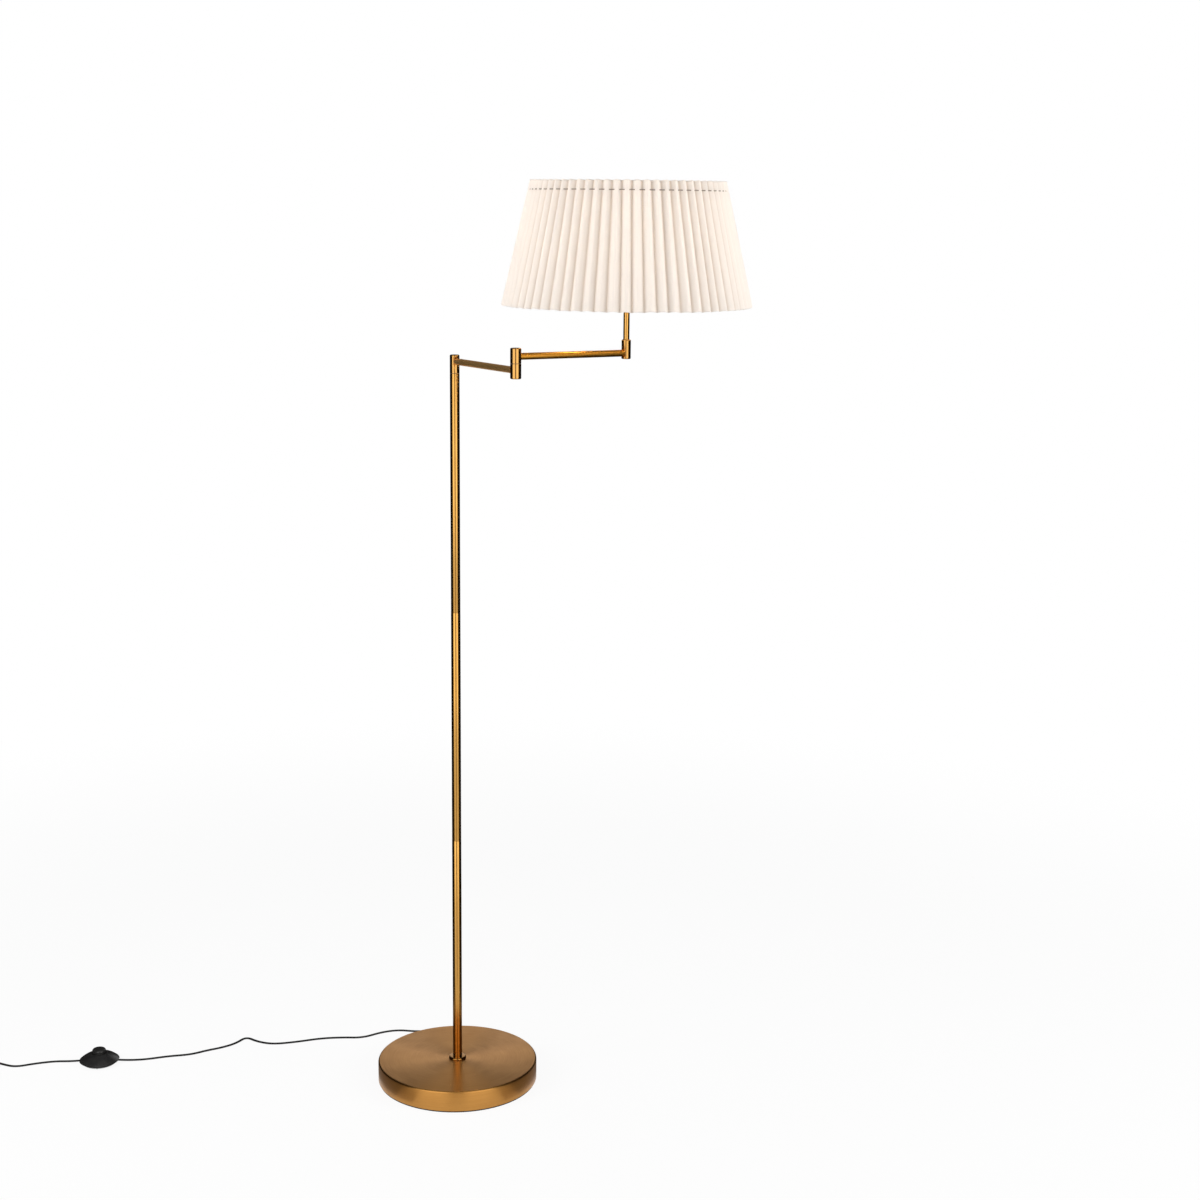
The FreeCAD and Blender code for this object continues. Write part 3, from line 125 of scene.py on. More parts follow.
def placed(name, bm, material):
    """Puts a bmesh in the scene as an object of one material."""
    mesh = bpy.data.meshes.new(name)
    bm.to_mesh(mesh)
    bm.free()
    mesh.materials.append(material)
    piece = bpy.data.objects.new(name, mesh)
    scene.collection.objects.link(piece)
    return piece


world = bpy.data.worlds.new("studio")
scene.world = world
world.use_nodes = True
sky = world.node_tree
sky.nodes.clear()
room_light = add_node(sky, "Background", {"Color": (0.97, 0.985, 1, 1), "Strength": 0.26})
seen_white = add_node(sky, "Background", {"Color": (1, 1, 1, 1), "Strength": 1})
sky_mix = add_node(sky, "MixShader", {0: seen_rays(sky), 1: room_light.outputs[0], 2: seen_white.outputs[0]})
add_node(sky, "OutputWorld", {"Surface": sky_mix.outputs[0]})

floor_paint, paint = new_material("white floor")
matt = add_node(paint, "BsdfDiffuse", {"Color": (0.86, 0.86, 0.86, 1)})
glow = add_node(paint, "Emission")
distance = add_node(paint, "VectorMath", {0: object_spot(paint)}, operation="LENGTH")
run_out = add_node(paint, "MapRange", {
    "Value": distance.outputs["Value"], "From Min": 1.0, "From Max": 2.6, "To Min": 0.91, "To Max": 1.0,
}, interpolation_type="SMOOTHSTEP")
whiten = reckon(paint, "MULTIPLY", seen_rays(paint), run_out.outputs["Result"])
floor_mix = add_node(paint, "MixShader", {0: whiten, 1: matt.outputs[0], 2: glow.outputs[0]})
add_node(paint, "OutputMaterial", {"Surface": floor_mix.outputs[0]})
floor_bm = bmesh.new()
bmesh.ops.create_grid(floor_bm, x_segments=8, y_segments=8, size=40)
placed("floor", floor_bm, floor_paint)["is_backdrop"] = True


# ---- Studio lamps
# Two tall softboxes stand in front, one each side of the camera, and a wide one hangs overhead. Two
# side lamps light the cloth but leave no gloss. Only gloss sees the dim curtains, cloths and cards.
def softbox(name, bearing, reach, height, width, tall, power, colour=(1, 1, 1)):
    """A rectangular lamp at a bearing from the front, turned towards the middle of the lamp."""
    light = bpy.data.lights.new(name, "AREA")
    light.shape = "RECTANGLE"
    light.size = width
    light.size_y = tall
    light.energy = power
    light.color = colour
    lamp = bpy.data.objects.new(name, light)
    target = Vector((0.05, 0, 0.9))
    way = radians(bearing)
    spot = Vector((target.x + sin(way) * reach, target.y - cos(way) * reach, height))
    facing = (spot - target).to_track_quat("Z", "Y").to_matrix().to_4x4()
    lamp.matrix_world = Matrix.Translation(spot) @ facing
    lamp.visible_camera = False
    scene.collection.objects.link(lamp)
    return lamp


softbox("softbox_left", bearing=-36, reach=2.6, height=1.45, width=2.0, tall=3.0, power=19,
        colour=(1, 0.985, 0.96))
softbox("softbox_right", bearing=31, reach=2.6, height=1.35, width=1.9, tall=3.0, power=18,
        colour=(1, 0.99, 0.97))
softbox("softbox_top", bearing=180, reach=0.5, height=3.4, width=2.0, tall=2.0, power=18)
for name, bearing, power in (("side_lamp_left", -66, 34), ("side_lamp_right", 68, 29)):
    side_lamp = softbox(name, bearing, reach=2.5, height=1.5, width=0.9, tall=1.2, power=power)
    side_lamp.visible_glossy = False


def spun(corners, angle, steps, closed=False, merge=True):
    """Spins a chain of points round the upright axis through the origin."""
    bm = bmesh.new()
    chain = [bm.verts.new(corner) for corner in corners]
    for first, second in zip(chain, chain[1:]):
        bm.edges.new((first, second))
    if closed:
        bm.edges.new((chain[-1], chain[0]))
    bmesh.ops.spin(bm, geom=bm.verts[:] + bm.edges[:], axis=(0, 0, 1), cent=(0, 0, 0), angle=angle,
                   steps=steps, use_merge=merge)
    return bm


def curtain(name, glow, bearings, profile):
    """A curtain, cloth or card between two bearings from the front, that only gloss sees."""
    cloth, tree = new_material(name)
    dim = add_node(tree, "Emission", {"Color": (glow, glow * 0.9, glow * 0.8, 1)})
    add_node(tree, "OutputMaterial", {"Surface": dim.outputs[0]})
    start, end = (radians(bearing) for bearing in bearings)
    corners = [(reach * sin(start), -reach * cos(start), height) for reach, height in profile]
    piece = placed(name, spun(corners, end - start, steps=16, merge=False), cloth)
    piece.visible_camera = False
    piece.visible_diffuse = False
    piece.visible_transmission = False
    piece.visible_volume_scatter = False
    piece.visible_shadow = False
    piece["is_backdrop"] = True


curtain_reach, curtain_foot, curtain_top, ceiling = 1.15, 0.004, 2.4, 2.3
base_clear, cloth_reach, card_reach, hub = 0.146, 0.26, 0.32, 0.01
wall = [(curtain_reach, curtain_foot), (curtain_reach, curtain_top)]
half_wall = [(curtain_reach, 0.8), (curtain_reach, curtain_top)]
floor_cloth = [(cloth_reach, curtain_foot), (curtain_reach, curtain_foot)]
foot_cloth = [(base_clear, curtain_foot), (cloth_reach, curtain_foot)]
curtain("curtain_left", 0.012, (-164, -60), wall)
curtain("curtain_right", 0.012, (54, 164), wall)
curtain("floor_cloth_left", 0.03, (-166, -58), floor_cloth)
curtain("floor_cloth_right", 0.03, (58, 166), floor_cloth)
curtain("foot_cloth_left", 0.28, (-166, -54), foot_cloth)
curtain("foot_cloth_right", 0.32, (52, 166), foot_cloth)
curtain("half_cloth_left", 0.55, (-54, -36), foot_cloth)
curtain("half_cloth_right", 0.60, (38, 52), foot_cloth)
curtain("curtain_back", 0.07, (164, 196), half_wall)
curtain("card_front", 0.42, (-11, 9), [(card_reach, curtain_foot)] + wall)
curtain("card_top", 0.12, (0, 360), [(hub, ceiling), (curtain_reach, ceiling)])


# ---- Cord
# Flat black two-core flex, 5 mm wide. It leaves the back of the base, runs round to the foot switch
# on the left and straight through it, and its spare length is wound up beside the plug.
def noise(tree, spot, scale, detail):
    """A cloudy mask."""
    return add_node(tree, "TexNoise", {"Vector": spot, "Scale": scale, "Detail": detail}).outputs["Fac"]


def mixed(tree, mask, low, high):
    """Two colours mixed by a mask. A mix node's colours are its sockets 6 and 7, and its output 2."""
    return add_node(tree, "Mix", {0: mask, 6: low, 7: high}, data_type="RGBA").outputs[2]


def ranged(tree, mask, low, high):
    """A number that runs from low to high with a mask."""
    return add_node(tree, "MapRange", {"Value": mask, "To Min": low, "To Max": high}).outputs["Result"]


def relief(tree, height, strength, distance):
    """A normal that follows a height."""
    inputs = {"Height": height, "Strength": strength, "Distance": distance}
    return add_node(tree, "Bump", inputs).outputs["Normal"]


def principled(tree, inputs):
    """Gives a material its Principled surface."""
    surface = add_node(tree, "BsdfPrincipled", inputs)
    add_node(tree, "OutputMaterial", {"Surface": surface.outputs[0]})


def new_group(name, inputs, outputs):
    """A node group with named sockets, and then what it is given and what it gives."""
    group = bpy.data.node_groups.new(name, "ShaderNodeTree")
    for side, sockets in (("INPUT", inputs), ("OUTPUT", outputs)):
        for socket, kind in sockets.items():
            group.interface.new_socket(socket, in_out=side, socket_type="NodeSocket" + kind)
    return group, group.nodes.new("NodeGroupInput").outputs, group.nodes.new("NodeGroupOutput").inputs


def cloudy_group():
    """Clouds that every plain finish has: gives a colour, a roughness and a height."""
    group, given, gives = new_group("cloudy finish", {
        "Vector": "Vector", "Scale": "Float", "Detail": "Float", "Dark": "Color", "Light": "Color",
        "Dark At": "Float", "Light At": "Float", "Glossiest": "Float", "Dullest": "Float",
    }, {"Color": "Color", "Roughness": "Float", "Height": "Float"})
    clouds = noise(group, given["Vector"], given["Scale"], given["Detail"])
    bright = add_node(group, "MapRange", {
        "Value": clouds, "From Min": given["Dark At"], "From Max": given["Light At"],
    }).outputs["Result"]
    group.links.new(mixed(group, bright, given["Dark"], given["Light"]), gives["Color"])
    group.links.new(ranged(group, clouds, given["Glossiest"], given["Dullest"]), gives["Roughness"])
    group.links.new(clouds, gives["Height"])
    return group


cloudiness = cloudy_group()


def clouded(tree, spot, scale, detail, dark, light, roughness, contrast=(0, 1)):
    """The shared clouds in one material. contrast is where they reach the dark and the light colour."""
    return add_node(tree, "Group", {
        "Vector": spot, "Scale": scale, "Detail": detail, "Dark": (*dark, 1), "Light": (*light, 1),
        "Dark At": contrast[0], "Light At": contrast[1], "Glossiest": roughness[0], "Dullest": roughness[1],
    }, node_tree=cloudiness).outputs


def black_plastic(name, shade, roughness, grain):
    """Soft black plastic with a fine moulded grain and slight scuffs in its sheen."""
    material, tree = new_material(name)
    spot = object_spot(tree)
    dark = (shade * 0.8, shade * 0.8, shade * 0.82)
    light = (shade * 1.35, shade * 1.3, shade * 1.25)
    clouds = clouded(tree, spot, 60, 4, dark, light, (roughness - 0.07, roughness + 0.08), (0.3, 0.75))
    principled(tree, {
        "Base Color": clouds["Color"],
        "Roughness": clouds["Roughness"],
        "Normal": relief(tree, noise(tree, spot, 2600, 2), grain, 0.0002),
    })
    return material


def finished(name, bm, material, body, stands_for=(), crease=35):
    """Makes a bmesh a smooth-shaded piece that rides on a body and stands for CAD nodes."""
    piece = placed(name, bm, material)
    piece.data.shade_smooth()
    piece.data.set_sharp_from_angle(angle=radians(crease))
    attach(piece, body)
    if stands_for:
        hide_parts(*stands_for)
    return piece


weld_gap = 1e-6


def moulded(name, node, material, body, crease=30):
    """Copies a CAD node, welds its triangles and shades it smooth, with true flats."""
    bm = bmesh.new()
    bm.from_mesh(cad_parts[node].data)
    bmesh.ops.remove_doubles(bm, verts=bm.verts, dist=weld_gap)
    bmesh.ops.dissolve_limit(bm, angle_limit=radians(0.2), verts=bm.verts, edges=bm.edges)
    piece = finished(name, bm, material, body, [node], crease)
    flats = piece.modifiers.new("flats", "WEIGHTED_NORMAL")
    flats.keep_sharp = True
    return piece


def ramp(value, start, length):
    """Rises from 0 to 1 over a length, and holds."""
    return min(max((value - start) / length, 0), 1)


cord_width, cord_thickness = 0.005, 0.0025
cord_points = [
    (0.0000, 0.1660, 0.00720), (0.0000, 0.1740, 0.00720), (-0.0040, 0.1920, 0.00240),
    (-0.0200, 0.2030, 0.00125), (-0.0460, 0.2010, 0.00125), (-0.0780, 0.1990, 0.00125),
    (-0.1100, 0.2075, 0.00125), (-0.1420, 0.1990, 0.00125), (-0.1760, 0.1755, 0.00125),
    (-0.2130, 0.1790, 0.00125), (-0.2540, 0.1765, 0.00125), (-0.2970, 0.1630, 0.00125),
    (-0.3400, 0.1550, 0.00125), (-0.3700, 0.1680, 0.00125), (-0.3920, 0.1900, 0.00125),
    (-0.4080, 0.1620, 0.00125), (-0.4320, 0.1445, 0.00125), (-0.4570, 0.1340, 0.00125),
    (-0.4850, 0.1170, 0.00125), (-0.5240, 0.1120, 0.00125), (-0.5620, 0.1005, 0.00125),
    (-0.5920, 0.0955, 0.00260), (-0.6200, 0.0935, 0.00540), (-0.6680, 0.0935, 0.00540),
    (-0.6960, 0.0955, 0.00280), (-0.7240, 0.1005, 0.00125), (-0.7580, 0.0925, 0.00125),
    (-0.7900, 0.0800, 0.00125), (-0.8140, 0.0915, 0.00125),
]
coil_low, coil_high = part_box("cord_coil")
coil_middle = (coil_low + coil_high) / 2
coil_outer = (coil_high.x - coil_low.x) / 2 - cord_width / 2
coil_steps, coil_layers = 16, 4
start_bearing, end_bearing = radians(40), radians(150)
last_step = round(coil_steps * (2 * coil_layers - 1 + (end_bearing - start_bearing) / tau))
for step in range(last_step + 1):
    turns = step / coil_steps
    bearing = start_bearing + turns * tau
    inside = ramp(turns % 2, 0.8, 0.2) - ramp(turns % 2, 1.8, 0.2)
    layer = turns // 2 + ramp(turns % 2, 1.75, 0.25)
    reach = coil_outer - inside * cord_width
    cord_points.append((coil_middle.x + reach * cos(bearing), coil_middle.y + reach * sin(bearing),
                        coil_low.z + cord_thickness * (layer + 0.5)))
cord_points += [(-0.8990, 0.0900, 0.0098), (-0.9000, 0.0640, 0.0076), (-0.9000, 0.0430, 0.00685)]

route = bpy.data.curves.new("cord_route", "CURVE")
route.dimensions = "3D"
route.twist_mode = "Z_UP"
route.resolution_u = 8
line = route.splines.new("NURBS")
line.points.add(len(cord_points) - 1)
for point, spot in zip(line.points, cord_points):
    point.co = (*spot, 1)
line.order_u = 3
line.use_endpoint_u = True
route_object = bpy.data.objects.new("cord_route", route)
scene.collection.objects.link(route_object)
bare_line = bpy.data.meshes.new_from_object(route_object)

section = bpy.data.curves.new("cord_section", "CURVE")
section.dimensions = "2D"
skin = section.splines.new("POLY")
core_radius = cord_thickness / 2
core_offset = (cord_width - cord_thickness) / 2
skin_points = []
for middle, first in ((core_offset, -120), (-core_offset, 60)):
    for angle in range(first, first + 241, 30):
        way = radians(angle)
        skin_points.append((middle + core_radius * cos(way), core_radius * sin(way)))
skin.points.add(len(skin_points) - 1)
for point, spot in zip(skin.points, skin_points):
    point.co = (*spot, 0, 1)
skin.use_cyclic_u = True
section_object = bpy.data.objects.new("cord_section", section)
scene.collection.objects.link(section_object)
route.bevel_mode = "OBJECT"
route.bevel_object = section_object
route.use_fill_caps = True
bpy.context.view_layer.update()
swept_route = route_object.evaluated_get(bpy.context.evaluated_depsgraph_get())
cord_bm = bmesh.new()
cord_bm.from_mesh(bpy.data.meshes.new_from_object(swept_route))
bmesh.ops.remove_doubles(cord_bm, verts=cord_bm.verts, dist=weld_gap)
bmesh.ops.recalc_face_normals(cord_bm, faces=cord_bm.faces)
for helper in (route_object, section_object):
    bpy.data.objects.remove(helper)

cord_black = black_plastic("black flex", 0.012, 0.42, 0.15)
cord = finished("cord", cord_bm, cord_black, "stand",
                ["cord_to_switch", "cord_to_coil", "cord_to_plug", "cord_coil"], 60)
grommet = moulded("cord_relief", "cord_grommet", cord_black, "stand")
tie = moulded("cord_tie", "coil_tie", cord_black, "stand")


# ---- Foot switch
# Round black push switch. Its two moulded shells are screwed together from below over a latching
# contact block, and it stands on three rubber pads. The cord runs in and out through side notches.
def turned(profile, rounds=(), steps=96, closed=True):
    """Spins (radius, height) corners. Each of rounds is a corner's index, its radius and its segments."""
    bm = spun([(radius, 0, height) for radius, height in profile], tau, steps, closed)
    bmesh.ops.remove_doubles(bm, verts=bm.verts, dist=weld_gap)
    for index, size, segments in rounds:
        radius, height = profile[index]
        corner = [edge for edge in bm.edges
                  if all(abs(hypot(v.co.x, v.co.y) - radius) + abs(v.co.z - height) < 2 * weld_gap
                         for v in edge.verts)]
        bmesh.ops.bevel(bm, geom=corner, offset=size, offset_type="OFFSET", affect="EDGES",
                        segments=segments, profile=0.5, material=-1)
    bmesh.ops.recalc_face_normals(bm, faces=bm.faces)
    return bm


def set_at(bm, x, y):
    """Moves a turned shape to its axis."""
    bmesh.ops.translate(bm, verts=bm.verts, vec=(x, y, 0))
    return bm


tray_low, tray_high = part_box("switch_base")
switch_x, switch_y = (tray_low.x + tray_high.x) / 2, (tray_low.y + tray_high.y) / 2
switch_radius, seam = (tray_high.x - tray_low.x) / 2, tray_high.z
button_radius, button_gap = 0.012, 0.0004
dome_rise, dome_steps = 0.0142, 14
rim_depth, shell_wall = 0.002, 0.003
dome_radius = (switch_radius ** 2 + dome_rise ** 2) / (2 * dome_rise)
dome_corners = []
for step in range(dome_steps + 1):
    reach = switch_radius + (button_radius + button_gap - switch_radius) * step / dome_steps
    dome_corners.append((reach, seam + dome_rise - dome_radius + sqrt(dome_radius ** 2 - reach ** 2)))
hole_radius, hole_height = dome_corners[-1]
dome_corners += [(hole_radius, hole_height - rim_depth), (switch_radius - shell_wall, seam)]
dome_bm = turned(dome_corners, [(0, 0.0007, 3), (dome_steps, 0.0005, 3)])
switch_black = black_plastic("black switch plastic", 0.015, 0.34, 0.25)
dome = finished("switch_dome", set_at(dome_bm, switch_x, switch_y), switch_black,
                "stand", ["switch_cover"])
tray = moulded("switch_tray", "switch_base", switch_black, "stand")

button_low, button_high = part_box("switch_button")
foot, top = button_low.z, button_high.z
hollow, flange, waist = button_radius - 0.002, button_radius + 0.0012, button_radius - 0.0006
button_corners = [
    (0, foot + 0.001), (hollow, foot + 0.001), (hollow, foot), (flange, foot), (flange, foot + 0.0016),
    (waist, foot + 0.0017), (waist, top - 0.0068), (button_radius, top - 0.0062), (button_radius, top),
    (0, top),
]
top_edge = len(button_corners) - 2
button_bm = turned(button_corners, [(top_edge, 0.0034, 7)], closed=False)
push_button = finished("push_button", set_at(button_bm, switch_x, switch_y), switch_black,
                       "foot_button", ["switch_button"])


# ---- Plug
# Flat two-pin plug, moulded in one with the cord. The pins are plated brass, and half of each is
# sleeved in black so that no metal shows before the plug is home.
plug = moulded("plug_grip", "plug_body", cord_black, "stand")
pin_metal, pin_tree = new_material("sleeved pin")
pin_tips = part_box("plug_pins")[0].y
bare_length = 0.009
pin_place = add_node(pin_tree, "SeparateXYZ", {0: object_spot(pin_tree)})
sleeve = reckon(pin_tree, "GREATER_THAN", pin_place.outputs["Y"], pin_tips + bare_length)
principled(pin_tree, {
    "Base Color": mixed(pin_tree, sleeve, (0.78, 0.74, 0.66, 1), (0.012, 0.012, 0.012, 1)),
    "Metallic": reckon(pin_tree, "SUBTRACT", 1, sleeve),
    "Roughness": 0.3,
})
pins = moulded("plug_prongs", "plug_pins", pin_metal, "stand")


# ---- Base
# Heavy round foot: a spun brass-finished cover over a cast iron weight, closed by a thin foam disc.
# The cover is brushed in circles, and its top edge is rounded by 3 mm.
def brushed_group():
    """Fine circular brush marks with cloudy tarnish: gives a colour, a roughness and a height."""
    group, given, gives = new_group("circular brushing", {
        "Vector": "Vector", "Light": "Color", "Dark": "Color", "Grain": "Float", "Tarnish": "Float",
        "Gloss": "Float",
    }, {"Color": "Color", "Roughness": "Float", "Height": "Float"})
    height = add_node(group, "SeparateXYZ", {0: given["Vector"]}).outputs["Z"]
    flat = add_node(group, "VectorMath", {0: given["Vector"], 1: (1, 1, 0)}, operation="MULTIPLY").outputs[0]
    around = add_node(group, "VectorMath", {0: flat}, operation="NORMALIZE").outputs[0]
    reach = add_node(group, "VectorMath", {0: flat}, operation="LENGTH").outputs["Value"]
    rings = reckon(group, "MULTIPLY", reckon(group, "ADD", reach, height), given["Grain"])
    lift = add_node(group, "CombineXYZ", {"Z": rings}).outputs[0]
    groove = add_node(group, "VectorMath", {0: around, 1: (2.2, 2.2, 0), 2: lift}, operation="MULTIPLY_ADD")
    marks = add_node(group, "TexNoise", {
        "Vector": groove.outputs[0], "Scale": 1, "Detail": 6, "Roughness": 0.7,
    }).outputs["Fac"]
    clouds = noise(group, given["Vector"], 28, 5)
    blend = add_node(group, "Mix", {0: given["Tarnish"], 2: marks, 3: clouds}, data_type="FLOAT")
    spread = add_node(group, "MapRange", {"Value": blend.outputs[0], "From Min": 0.3, "From Max": 0.7})
    bright = spread.outputs["Result"]
    dulling = ranged(group, bright, 0.07, -0.07)
    group.links.new(mixed(group, bright, given["Dark"], given["Light"]), gives["Color"])
    group.links.new(reckon(group, "ADD", dulling, given["Gloss"]), gives["Roughness"])
    group.links.new(marks, gives["Height"])
    return group


brushing = brushed_group()


def brass(name, light, dark, roughness, tarnish, grain=3000, relief_depth=0.03, along=None, metal=1):
    """Lacquered antique brass. along is (point, direction) of a piece whose axis isn't upright."""
    material, tree = new_material(name)
    spot = object_spot(tree)
    brushed = {}
    if along:
        point, direction = along
        way = direction.to_track_quat("Z", "Y").to_euler()
        turn = add_node(tree, "Mapping", {"Vector": spot, "Location": point, "Rotation": way},
                        vector_type="TEXTURE")
        spot = turn.outputs["Vector"]
    else:
        ring = add_node(tree, "Tangent", direction_type="RADIAL", axis="Z")
        brushed = {"Tangent": ring.outputs[0], "Anisotropic": 0.8, "Anisotropic Rotation": 0.25}
    finish = add_node(tree, "Group", {
        "Vector": spot, "Light": (*light, 1), "Dark": (*dark, 1), "Grain": grain, "Tarnish": tarnish,
        "Gloss": roughness,
    }, node_tree=brushing).outputs
    principled(tree, {
        "Base Color": finish["Color"],
        "Roughness": finish["Roughness"],
        "Metallic": metal,
        "Normal": relief(tree, finish["Height"], relief_depth, 0.00001),
        **brushed,
    })
    return material


cover_low, cover_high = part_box("base_cover")
base_radius, base_top, base_foot = cover_high.x, cover_high.z, cover_low.z
sheet_metal, screw_hole = 0.0012, 0.0058
inner_radius, inner_top = base_radius - sheet_metal, base_top - sheet_metal
base_corners = [(screw_hole, base_top), (base_radius, base_top), (base_radius, base_foot),
                (inner_radius, base_foot), (inner_radius, inner_top), (screw_hole, inner_top)]
base_brass = brass("brushed base brass", (0.55, 0.27, 0.070), (0.47, 0.22, 0.054), roughness=0.38,
                   tarnish=0.3, grain=700, relief_depth=0.15)
finished("base_dish", turned(base_corners, [(1, 0.003, 6), (2, 0.0004, 2)], steps=192), base_brass,
         "stand", ["base_cover"], 40)


# ---- Pole
# Three 404 mm lengths of 16 mm tube, screwed end to end. Each end is slightly rounded, so every joint
# shows as a fine dark line. A small turned collar covers the screw at the base.
pole_brass = brass("pole brass", (0.63, 0.335, 0.085), (0.54, 0.28, 0.065), roughness=0.20, tarnish=0.5)
tube_wall, tube_edge = 0.001, 0.0004
for name in ("pole_tube_lower", "pole_tube_middle", "pole_tube_upper"):
    low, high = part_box(name)
    tube_radius = (high.x - low.x) / 2
    bore = tube_radius - tube_wall
    tube_corners = [(bore, low.z), (tube_radius, low.z), (tube_radius, high.z), (bore, high.z)]
    tube_bm = turned(tube_corners, [(1, tube_edge, 2), (2, tube_edge, 2)], steps=64)
    finished(name.replace("tube", "length"), tube_bm, pole_brass, "stand", [name], 50)

collar_low, collar_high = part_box("pole_collar")
collar_radius, collar_bore = collar_high.x, tube_radius + 0.0001
collar_corners = [(collar_bore, collar_low.z), (collar_radius, collar_low.z),
                  (collar_radius, collar_high.z), (collar_bore, collar_high.z)]
# The collar's brass is darker than the pole's: painted shade, for how dark the small ring looks down by the
# base.
shaded_collar_brass = brass("collar brass with painted shade", (0.40, 0.20, 0.050), (0.30, 0.145, 0.034), roughness=0.24,
                     tarnish=0.35)
finished("foot_collar", turned(collar_corners, [(2, 0.0024, 6), (1, 0.0008, 3)], steps=72), shaded_collar_brass,
         "stand", ["pole_collar"], 40)


# ---- Swivel head
# Turned plug on top of the pole that carries the first arm. It turns on a thin friction washer, and
# the arm is seated in a round recess in its side.
head_brass = brass("turned head brass", (0.57, 0.31, 0.09), (0.48, 0.25, 0.065), roughness=0.19,
                   tarnish=0.45)
moulded("head_of_pole", "swivel_head", head_brass, "first_arm", 35)


# ---- First arm
# 11 mm tube, 200 mm from axis to axis, in a darker matt bronze than the rest. Its far end carries the
# lower half of the elbow.
def axis_of(node):
    """Where the axis of an upright turned node meets the floor."""
    low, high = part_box(node)
    return Vector(((low.x + high.x) / 2, (low.y + high.y) / 2, 0))


def arm_line(node, start, end):
    """A point on a level arm's axis, and the way that the arm runs."""
    low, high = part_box(node)
    return (start.x, start.y, (low.z + high.z) / 2), (end - start).normalized()


axis_of_pole = Vector((0, 0, 0))
axis_of_elbow = axis_of("lower_knuckle")
arm_bronze = brass("dark bronze", (0.88, 0.52, 0.20), (0.68, 0.39, 0.14), roughness=0.42, tarnish=0.6,
                   along=arm_line("arm_1_tube", axis_of_pole, axis_of_elbow), metal=0.9)
moulded("first_arm_tube", "arm_1_tube", arm_bronze, "first_arm", 40)
moulded("elbow_lower_half", "lower_knuckle", head_brass, "first_arm", 35)


# ---- Second arm
# The upper half of the elbow, another 200 mm tube in bright antique brass, the end knuckle, and the
# slim stem that holds the lamp holder up inside the shade.
axis_of_shade = axis_of("end_knuckle")
# This tube's brass is tinted more orange than the pole's: painted warm light from the lit bulb above it.
arm_brass_with_painted_bulb_light = brass("arm brass with painted bulb light", (0.62, 0.28, 0.036), (0.50, 0.215, 0.024), roughness=0.28, tarnish=0.5,
                  along=arm_line("arm_2_tube", axis_of_elbow, axis_of_shade))
moulded("second_arm_tube", "arm_2_tube", arm_brass_with_painted_bulb_light, "second_arm", 40)
moulded("elbow_upper_half", "upper_knuckle", head_brass, "second_arm", 35)
moulded("end_of_arm", "end_knuckle", head_brass, "second_arm", 35)
moulded("stem", "stem_tube", pole_brass, "second_arm", 40)


# ---- Lamp holder
# Threaded black phenolic lamp holder on the stem. Two knurled rings on its thread clamp the shade's
# gallery plate between them.
def ribbed(name, colour, roughness, depth, pitch=None, knurls=None, metal=0):
    """A surface with a thread of one pitch, or with upright knurls, round the axis of the shade."""
    material, tree = new_material(name)
    place = add_node(tree, "Mapping", {
        "Vector": object_spot(tree), "Location": (-axis_of_shade.x, -axis_of_shade.y, 0),
    }).outputs["Vector"]
    split = add_node(tree, "SeparateXYZ", {0: place}).outputs
    angle = reckon(tree, "ARCTAN2", split["Y"], split["X"])
    climb = reckon(tree, "MULTIPLY", split["Z"], tau / pitch if pitch else 0)
    wave = reckon(tree, "SINE", reckon(tree, "MULTIPLY_ADD", angle, knurls or 1, climb))
    dark, light = ([part * gain for part in colour] for gain in (0.8, 1.2))
    clouds = clouded(tree, place, 90, 4, dark, light, (roughness - 0.06, roughness + 0.08))
    principled(tree, {
        "Base Color": clouds["Color"],
        "Roughness": clouds["Roughness"],
        "Metallic": metal,
        "Normal": relief(tree, wave, 1, depth),
    })
    return material


phenolic = (0.03, 0.022, 0.018)
thread_plastic = ribbed("threaded phenolic", phenolic, roughness=0.3, depth=0.0004, pitch=0.0025)
knurled_plastic = ribbed("knurled phenolic", phenolic, roughness=0.34, depth=0.0004, knurls=60)
moulded("holder_foot", "holder_cap", thread_plastic, "second_arm")
moulded("holder_shell", "holder_sleeve", thread_plastic, "second_arm")
moulded("clamp_ring_lower", "shade_ring_lower", knurled_plastic, "second_arm")
moulded("clamp_ring_upper", "shade_ring_upper", knurled_plastic, "second_arm")


# ---- Bulb
# 60 mm opal lamp, lit, with a warm glow that is a little weaker at its neck. Its screw cap is bright
# threaded metal.
opal, opal_tree = new_material("lit opal glass")
bulb_foot, neck_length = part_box("bulb_glass")[0].z, 0.035
opal_height = add_node(opal_tree, "SeparateXYZ", {0: object_spot(opal_tree)})
opal_rise = add_node(opal_tree, "MapRange", {
    "Value": opal_height.outputs["Z"], "From Min": bulb_foot, "From Max": bulb_foot + neck_length,
}).outputs["Result"]
principled(opal_tree, {
    "Base Color": mixed(opal_tree, opal_rise, (0.80, 0.76, 0.70, 1), (0.92, 0.90, 0.86, 1)),
    "Roughness": 0.25,
    "Emission Color": mixed(opal_tree, opal_rise, (0.55, 0.42, 0.30, 1), (1, 0.90, 0.78, 1)),
    "Emission Strength": 17,
})
moulded("bulb_envelope", "bulb_glass", opal, "second_arm")
screw_metal = ribbed("threaded cap metal", (0.72, 0.70, 0.66), roughness=0.28, depth=0.0006,
                     pitch=0.0036, metal=1)
moulded("bulb_screw", "bulb_cap", screw_metal, "second_arm")


